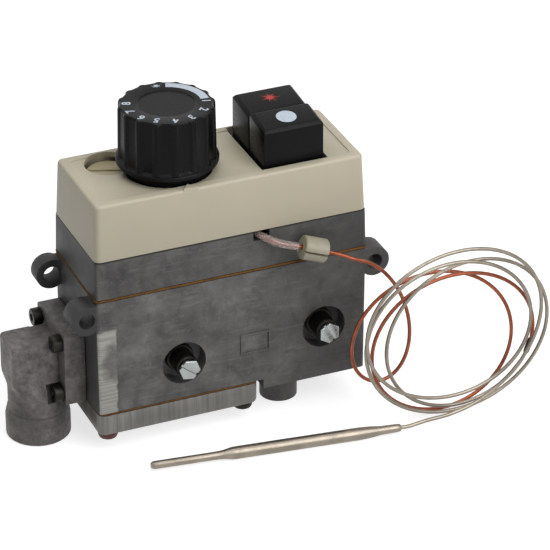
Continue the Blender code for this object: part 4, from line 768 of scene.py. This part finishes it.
class BuildCapillary(bpy.types.Operator):
    """Builds the capillary with its sleeve, bush, brazed joint and sensing bulb"""

    bl_idname = "gas_valve.capillary"
    bl_label = "Capillary and bulb"

    def execute(self, context):
        sizes = context.scene.gas_valve_sizes
        copper_line, steel_line, lead = capillary_lines()

        bush = self.bush()
        sleeve = self.sleeve(sizes, lead)
        joint = self.joint(copper_line[-1], steel_line[0])
        bulb = self.bulb()

        copper_nodes, steel_nodes = ("copper_lead", "copper_coil"), ("steel_coil", "steel_tail")
        for line, finish, nodes, slot, fittings in (
            (copper_line, "copper", copper_nodes, "copper", [sleeve, bush, joint]),
            (steel_line, "steel", steel_nodes, "stainless", [bulb]),
        ):
            tube = tube_curve(line, TUBE_MM)
            finish_piece(tube, f"{finish}_capillary", finish, stands_for=nodes)
        return {"FINISHED"}

    def bush(self):
        """The split nylon bush: a turned body with a bore and a slit to lay the tube in."""
        start, end = Vector(BUSH_START), Vector(BUSH_END)
        long = (end - start).length
        piece = ring_stack([(4.2, 0), (4.7, 0.45), (4.7, long - 0.45), (4.2, long)], 40)
        slit = block((2.6, 6), (-0.5, 0.5), (-1, long + 1))
        bore = ring_stack([(1.05, -1), (1.05, long + 1)], 24)
        cut(piece, slit, bore)
        # The slit is turned to the front and a little upwards.
        facing = (end - start).to_track_quat("Z", "Y").inverted() @ Vector((-0.3, -0.9, 0.1))
        put(piece, (0, 0, 0), (0, 0, math.atan2(facing.y, facing.x)))
        lay_along(piece, start, end - start)
        return finish_piece(piece, "nylon_bush", "nylon", stands_for=("capillary_bush",))

    def sleeve(self, sizes, lead):
        """The clear sleeve over the first of the copper, as a tube with a wall."""
        last = next(i for i, p in enumerate(lead) if p.x > BUSH_START[0] - 0.9)
        piece = tube_curve(lead[:last], sizes.sleeve / MM)
        piece.data.use_fill_caps = False
        take(piece)
        bpy.ops.object.convert(target="MESH")
        piece = bpy.context.object
        modify(piece, "SOLIDIFY", thickness=0.55 * MM, offset=-1.0, use_even_offset=True)
        return finish_piece(
            piece, "clear_sleeve", "sleeve", stands_for=("capillary_sleeve",), angle=60
        )

    def joint(self, start, end):
        """The brazed sleeve that joins the copper to the steel."""
        axis = (end - start).normalized()
        long = (end - start).length - 2 * JOINT_GAP
        rings = [(0.8, 0), (1.05, 0.4), (1.2, 1.2), (1.2, long - 1.2), (1.05, long - 0.4), (0.8, long)]
        piece = ring_stack(rings, 24)
        lay_along(piece, start + axis * JOINT_GAP, axis)
        return finish_piece(piece, "joint_sleeve", "braze", stands_for=("brazed_joint",))

    def bulb(self):
        """The sensing bulb, swaged down at both ends: radii in millimetres at shares of its length."""
        axis = BULB_END - BULB_START
        long = axis.length
        shape = (
            (0.0, 1.15), (0.004, 1.5), (0.02, 1.62), (0.05, 1.7), (0.085, 1.78), (0.115, 2.2),
            (0.15, 2.42), (0.17, 2.5), (0.66, 2.5), (0.68, 2.42), (0.71, 1.85), (0.73, 1.66),
            (0.76, 1.6), (0.985, 1.6), (0.994, 1.4), (1.0, 1.0),
        )
        piece = ring_stack([(r, share * long) for share, r in shape], 32)
        lay_along(piece, BULB_START, axis)
        return finish_piece(piece, "bulb", "steel", stands_for=("sensing_bulb",), angle=40)


class BuildCover(bpy.types.Operator):
    """Builds the beige cover with its sunken panel, openings and pointer"""

    bl_idname = "gas_valve.cover"
    bl_label = "Cover"

    def execute(self, context):
        sizes = context.scene.gas_valve_sizes
        foot = COVER_LOW.z / MM
        piece = block((-55, 55), (-22.2, 22.2), (foot, COVER_TOP), MIDDLE)
        draft = (1 - WALL / 110, 1 - WALL / 44.4, at(0, 0, COVER_TOP))
        pick(piece, lambda c, n: n.z > 0.9)
        widen(*draft)
        pick(piece, lambda c, n: abs(n.z) > 0.9, "EDGE")
        bpy.ops.mesh.bevel(offset=sizes.cover_corner, segments=6)
        pick(piece, lambda c, n: c.z > (COVER_TOP - 0.01) * MM, "EDGE")
        bpy.ops.mesh.bevel(offset=sizes.cover_fillet, segments=5)
        hollow(piece, WALL, 20.7)
        widen(*draft)
        mend(piece)

        below = 101
        knob_hole = put(ring_stack([(17.4, 0), (17.4, 12)], 96), at(KNOB_X, 0, below))
        access = put(ring_stack([(9.0, 0), (9.0, 12)], 64), at(-37.2, 10.5, below))
        cut(piece, knob_hole, access)
        opening = block((14.3, 41.2), (-17.5, 19.7), (below, 112), MIDDLE)
        cut(piece, self.panel(), opening)
        round_edges(piece, 0.16, 2, 50)
        cut(piece, self.pointer(), operation="UNION")
        finish_piece(piece, "cover_shell", "cover", stands_for=("cover",), angle=25)
        return {"FINISHED"}

    def panel(self):
        """The tool that sinks the panel: a flat block with round corners and sloping sides."""
        piece = block((-50.3, 50.3), (-17.5, 17.5), (COVER_TOP - 0.42, COVER_TOP + 1), MIDDLE)
        pick(piece, lambda c, n: abs(n.z) > 0.9, "EDGE")
        bpy.ops.mesh.bevel(offset=2.2 * MM, segments=6)
        pick(piece, lambda c, n: n.z > 0.9)
        widen(1.004, 1.012, at(0, 0, COVER_TOP))
        return piece

    def pointer(self):
        """The raised triangle on the border, which points at the knob's scale."""
        piece = disc(3, 2)
        corners = ((-16.3, -17.4), (-19.3, -21.2), (-13.2, -21.5))
        places = [vertex.co.copy() for vertex in piece.data.vertices]
        for place, (x, y) in zip(places, corners):
            pick(piece, lambda c, n, place=place: (c - place).length < 1e-7, "VERT")
            bpy.ops.transform.translate(value=at(x, y, COVER_TOP - 0.6) - place)
        pick(piece, lambda c, n: True)
        extrude(1.25)
        widen(0.85, middle=at(-16.3, -20, COVER_TOP))
        mend(piece)
        return piece


class BuildKnob(bpy.types.Operator):
    """Builds the fluted knob with its rim, its dished top and its printed scale"""

    bl_idname = "gas_valve.knob"
    bl_label = "Knob"

    flutes = 16
    per_flute = 12
    first_crest = math.radians(-101.4)
    # Where each digit stands, in degrees as the camera sees the top, and the camera's own turn.
    digits = {"1": 7.5, "2": -20, "3": -50, "4": -75, "5": -103, "6": -127, "7": -152, "8": -178}
    seen_from = -23.0

    def execute(self, context):
        sizes = context.scene.gas_valve_sizes
        columns = self.flutes * self.per_flute
        rings = [
            (16.7, -3.2), (16.7, 1.3), (19.0, 1.7), (19.5, 2.1), (19.6, 3.3), (19.4, 3.7), (18.9, 3.9),
            (18.8, 4.7), (18.45, 24.3), (18.2, 24.9), (17.8, 25.2),
            (11.2, 25.2), (10.9, 25.1), (10.5, 24.75), (9.2, 24.75),
        ]
        piece = ring_stack(rings, columns, self.first_crest)
        # The points between two narrow crests are drawn in, level by level, into a wide flat hollow.
        shares = {4.7: 0.85, 24.3: 1.0, 24.9: 0.97, 25.2: 0.9}
        for step, dip in ((2, 0.55), (3, 0.82), (4, 0.94), (5, 0.99), (6, 1.0)):
            for height, share in shares.items():
                self.draw_in(piece, step, height, sizes.knob_flute * dip * share)
        hollow(piece, 1.6, 22)
        mend(piece)
        put(piece, at(KNOB_X, 0, KNOB_FOOT))
        finish_piece(piece, "knob_cap", "knob", "knob", ("knob",), 28)
        self.scale(sizes)
        return {"FINISHED"}

    def draw_in(self, piece, step, height, depth):
        """Draws in the points of one level that lie some steps from a crest."""
        pitch = 2 * math.pi / self.flutes

        def chosen(point, normal):
            radius = math.hypot(point.x, point.y)
            if abs(point.z - height * MM) > 1e-5 or radius < 17.2 * MM:
                return False
            angle = (math.atan2(point.y, point.x) - self.first_crest) % pitch
            near = round(angle / pitch * self.per_flute) % self.per_flute
            return near in (step, self.per_flute - step)

        pick(piece, chosen, "VERT")
        widen(1 - depth / (18.6 * MM), middle=(0, 0, height * MM))

    def scale(self, sizes):
        """Digits, a pilot star and the arc between them, printed round the knob's top."""
        face = KNOB_FOOT + 25.2 + PRINT_LIFT
        for digit, seen_at in self.digits.items():
            angle = math.radians(seen_at + self.seen_from)
            clear_selection()
            bpy.ops.object.text_add()
            text = bpy.context.object
            text.data.body = digit
            text.data.size = sizes.digit
            text.data.align_x = "CENTER"
            text.data.align_y = "CENTER"
            text.data.extrude = PRINT_THICKNESS / 2 * MM
            text.data.offset = 0.1 * MM
            bpy.ops.object.convert(target="MESH")
            piece = bpy.context.object
            mend(piece)
            reach = 14.4 if digit == "5" else 14.8
            spot = at(KNOB_X + reach * math.cos(angle), reach * math.sin(angle), face)
            put(piece, spot, (0, 0, angle - math.pi / 2))
            finish_piece(piece, f"knob_digit_{digit}", "marking", "knob")
        angle = math.radians(107 + self.seen_from)
        spot = (KNOB_X + 14.6 * math.cos(angle), 14.6 * math.sin(angle), face)
        star = flame_star(spot, 1.9, angle - math.pi / 2)
        finish_piece(star, "knob_star", "marking", "knob")
        self.arc(face)

    def arc(self, face):
        """The printed band between the star and the first digit."""
        inner, outer = 13.1, 16.3
        first, last = 15 + self.seen_from, 93 + self.seen_from
        piece = disc(180, inner, "NOTHING")
        edit(piece)
        bpy.ops.mesh.extrude_edges_move()
        widen(outer / inner)

        def outside(point, normal):
            return not first <= math.degrees(math.atan2(point.y, point.x)) <= last

        pick(piece, outside)
        bpy.ops.mesh.delete(type="FACE")
        mend(piece)
        modify(piece, "SOLIDIFY", thickness=PRINT_THICKNESS * MM, offset=0.0)
        put(piece, at(KNOB_X, 0, face))
        finish_piece(piece, "knob_arc", "marking", "knob")


def flame_star(spot, radius_mm, turn):
    """The pilot mark: a burst of thin rays, the sideways ones long and the others in turn short."""
    rays = 14
    piece = disc(2 * rays, radius_mm)
    places = [vertex.co.copy() for vertex in piece.data.vertices]
    for index, place in enumerate(places):
        if index % 2:
            share = 0.3
        else:
            reach = 1.0 if index % 4 else 0.68
            share = reach * (0.92 + 0.28 * (place.x / place.length) ** 4)
        pick(piece, lambda c, n, place=place: (c - place).length < 1e-7, "VERT")
        widen(share)
    modify(piece, "SOLIDIFY", thickness=PRINT_THICKNESS * MM, offset=0.0)
    return put(piece, at(*spot), (0, 0, turn))


class BuildButtons(bpy.types.Operator):
    """Builds the two push buttons with their printed marks"""

    bl_idname = "gas_valve.buttons"
    bl_label = "Push buttons"

    # The front and back of each button, and the height and the fall of their tops, in millimetres.
    ignition = (-1.7, 14.7)
    off = (-16.5, -2.3)
    top = COVER_TOP + 17.0
    fall = 1.6

    def execute(self, context):
        sizes = context.scene.gas_valve_sizes
        self.button("ignition_button", *self.ignition, sizes.button_chamfer)
        self.button("off_button", *self.off, sizes.button_chamfer)
        dot = ring_stack([(3.9, 0), (3.9, 0.03)], 64)
        put(dot, *self.top_at(*self.off, 27.2, -9.6, 0.02))
        finish_piece(dot, "off_dot", "marking", "off_button")
        star = flame_star(-MIDDLE / MM, 3.6, math.radians(-23))
        put(star, *self.top_at(*self.ignition, 27.6, 7.2, 0.03))
        finish_piece(star, "ignition_star", "flame", "ignition_button")
        return {"FINISHED"}

    def top_at(self, front, back, x, y, lift):
        """A point just above a button's sloping top, and the turn that lays a mark along the slope."""
        fall = self.fall * (back - y) / (back - front)
        return at(x, y, self.top - fall + lift), (math.atan2(self.fall, back - front), 0, 0)

    def button(self, node, front, back, chamfer):
        """A hollow button with a top that falls to the front."""
        piece = block((15.2, 39.6), (front, back), (98.5, self.top), MIDDLE)
        near_top = (self.top - 4) * MM
        pick(piece, lambda c, n: c.z > near_top and c.y < MIDDLE.y + (front + 0.1) * MM, "VERT")
        bpy.ops.transform.translate(value=(0, 0, -self.fall * MM))
        pick(piece, lambda c, n: c.z > near_top, "EDGE")
        bpy.ops.mesh.bevel(offset=chamfer)
        round_edges(piece, 0.45, 3, 20)
        hollow(piece, 1.6, 18)
        mend(piece)
        finish_piece(piece, f"{node}_cap", "knob", node, (node,), 25)


class BuildCastings(bpy.types.Operator):
    """Dresses the castings, the elbow, the plate and the gaskets with round edges and their finishes"""

    bl_idname = "gas_valve.castings"
    bl_label = "Castings and gaskets"

    def execute(self, context):
        edge = context.scene.gas_valve_sizes.edge / MM
        dressed("lower_casting", "lower_body", "lower", edge, 3)
        self.raised_outline()
        dressed("upper_casting", "upper_body", "upper", edge, 3)
        dressed("inlet_elbow", "elbow_body", "elbow", edge, 3, 30)
        dressed("bottom_plate", "plate_body", "plate", 0.25, 2)
        dressed("main_gasket", "main_gasket_sheet", "gasket", 0.12, 1)
        dressed("bottom_gasket", "bottom_gasket_sheet", "gasket", 0.1, 1)
        return {"FINISHED"}

    def raised_outline(self):
        """The low rib round a bare field, cast on the front."""
        piece = block((2.8, 15.0), (-22.95, -21.55), (32.0, 40.7), MIDDLE)
        cut(piece, block((3.5, 14.3), (-24, -20), (32.7, 40.0), MIDDLE))
        round_edges(piece, 0.12, 2, 40)
        finish_piece(piece, "front_outline", "lower")


class BuildFittings(bpy.types.Operator):
    """Builds the screws, the test nipples and the adjusting disc"""

    bl_idname = "gas_valve.fittings"
    bl_label = "Screws and nipples"

    # The side, the place on the front in millimetres, and the turn of the hexagon in degrees.
    test_points = (("left", -20.3, 33.9, -39.0), ("right", 37.6, 36.7, -61.0))

    def execute(self, context):
        recess_face = -16.2
        nipples = copies(self.nipple(), len(self.test_points))
        hexagons = copies(self.test_screw(), len(self.test_points))
        for (side, x, z, turn), nipple, hexagon in zip(self.test_points, nipples, hexagons):
            node = f"test_nipple_{side}"
            put(nipple, at(x, recess_face, z), (math.pi / 2, 0, 0))
            finish_piece(nipple, f"{node}_barrel", "black_steel", stands_for=(node,))
            node = f"test_screw_{side}"
            put(hexagon, (0, 0, 0), (0, 0, math.radians(turn)))
            put(hexagon, at(x, recess_face, z), (math.pi / 2, 0, 0))
            finish_piece(hexagon, f"{node}_hex", "zinc", node, (node,))

        screws = (("plate", "pan", self.plate_screw, 2), ("flange", "cap", self.flange_screw, 0))
        for place, head, build, axis in screws:
            low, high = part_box(f"{place}_screw_1")
            for number, piece in enumerate(copies(build((high - low)[axis] / MM), 4), 1):
                node = f"{place}_screw_{number}"
                low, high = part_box(node)
                foot = (low + high) / 2
                foot[axis] = low[axis]
                put(piece, foot, (0, 0 if axis == 2 else math.pi / 2, 0))
                finish = "sealing" if node == "plate_screw_1" else "black_steel"
                finish_piece(piece, f"{node}_{head}", finish, stands_for=(node,))

        for number in range(1, 5):
            dressed(f"body_screw_{number}", f"body_screw_head_{number}", "zinc", 0.1, 2)
        dressed("adjusting_disc", "adjusting_disc_face", "ivory", 0.15, 2)
        return {"FINISHED"}

    def nipple(self):
        """The barrel that a test hose is pushed on, with its collar and its rounded bead."""
        rings = [
            (3.3, -5.0), (3.3, 0.3), (5.35, 0.3), (5.6, 0.55), (5.6, 1.6), (5.3, 1.9), (4.5, 1.95),
            (4.5, 5.6), (4.62, 5.8), (4.62, 8.9), (4.45, 9.6), (4.1, 10.1), (2.5, 10.1), (2.5, -4.0),
        ]
        return ring_stack(rings, 64)

    def test_screw(self):
        """The hexagon screw that closes a nipple, with its sawn slot."""
        head = 10.4
        rings = [(4.2, head), (4.39, head + 0.2), (4.39, head + 1.7), (4.15, head + 1.9)]
        piece = ring_stack(rings, 6)
        cut(piece, block((-6, 6), (-0.45, 0.45), (head + 0.9, head + 3)))
        cut(piece, ring_stack([(2.1, 0), (2.1, head + 0.2)], 24), operation="UNION")
        round_edges(piece, 0.08, 2, 30)
        return piece

    def plate_screw(self, long):
        """A pan-head screw, head down, with a dimple in its middle."""
        rings = [
            (1.4, 0.75), (1.6, 0.0), (2.6, 0.1), (3.4, 0.55), (3.8, 1.3), (3.9, 2.1), (3.9, 2.9),
            (2.0, 2.9), (2.0, long),
        ]
        return ring_stack(rings, 40)

    def flange_screw(self, long):
        """A cap screw with its hexagon socket."""
        piece = ring_stack([(3.2, 0), (3.5, 0.3), (3.5, 3.6), (1.9, 3.6), (1.9, long)], 48)
        cut(piece, ring_stack([(1.75, -1), (1.75, 2.0)], 6))
        round_edges(piece, 0.1, 2, 40)
        return piece


class PaintHiddenPieces(bpy.types.Operator):
    """Gives the pieces inside the valve, which keep their solids, their finishes"""

    bl_idname = "gas_valve.inside"
    bl_label = "Pieces inside"

    finishes = {
        "brass": ("temperature_spindle", "valve_disc", "magnet_unit"),
        "zinc": ("ignition_stem", "off_stem"),
        "spring": ("ignition_spring", "off_spring", "valve_spring"),
        "steel": ("bellows", "inlet_strainer"),
        "copper": ("inner_tube",),
        "rubber": ("elbow_o_ring",),
    }

    def execute(self, context):
        for finish, nodes in self.finishes.items():
            for node in nodes:
                piece = frame["nodes"][node]
                piece.data.materials.clear()
                piece.data.materials.append(FINISHES[finish])
        return {"FINISHED"}


class ValvePanel(bpy.types.Panel):
    """Lists the pieces that the valve is built from"""

    bl_idname = "VIEW3D_PT_gas_valve"
    bl_label = "Gas valve"
    bl_space_type = "VIEW_3D"
    bl_region_type = "UI"
    bl_category = "Gas valve"

    def draw(self, context):
        scene = context.scene
        for group in (scene.gas_valve_sizes, scene.gas_valve_colours):
            box = self.layout.box()
            for name in group.bl_rna.properties.keys():
                if name not in ("rna_type", "name"):
                    box.prop(group, name)
        for operator in OPERATORS:
            self.layout.operator(operator.bl_idname)


OPERATORS = (
    BuildStage, BuildCapillary, BuildCover, BuildKnob,
    BuildButtons, BuildCastings, BuildFittings, PaintHiddenPieces,
)
CLASSES = (ValveSizes, ValveColours, *OPERATORS, ValvePanel)


def register():
    for cls in CLASSES:
        bpy.utils.register_class(cls)
    bpy.types.Scene.gas_valve_sizes = bpy.props.PointerProperty(type=ValveSizes)
    bpy.types.Scene.gas_valve_colours = bpy.props.PointerProperty(type=ValveColours)


def unregister():
    del bpy.types.Scene.gas_valve_sizes
    del bpy.types.Scene.gas_valve_colours
    for cls in reversed(CLASSES):
        bpy.utils.unregister_class(cls)


def main():
    register()
    make_finishes(bpy.context.scene.gas_valve_colours)
    for operator in OPERATORS:
        family, name = operator.bl_idname.split(".")
        result = getattr(getattr(bpy.ops, family), name)()
        if result != {"FINISHED"}:
            raise RuntimeError(f"{operator.bl_label} wasn't built")


if __name__ == "__main__":
    main()
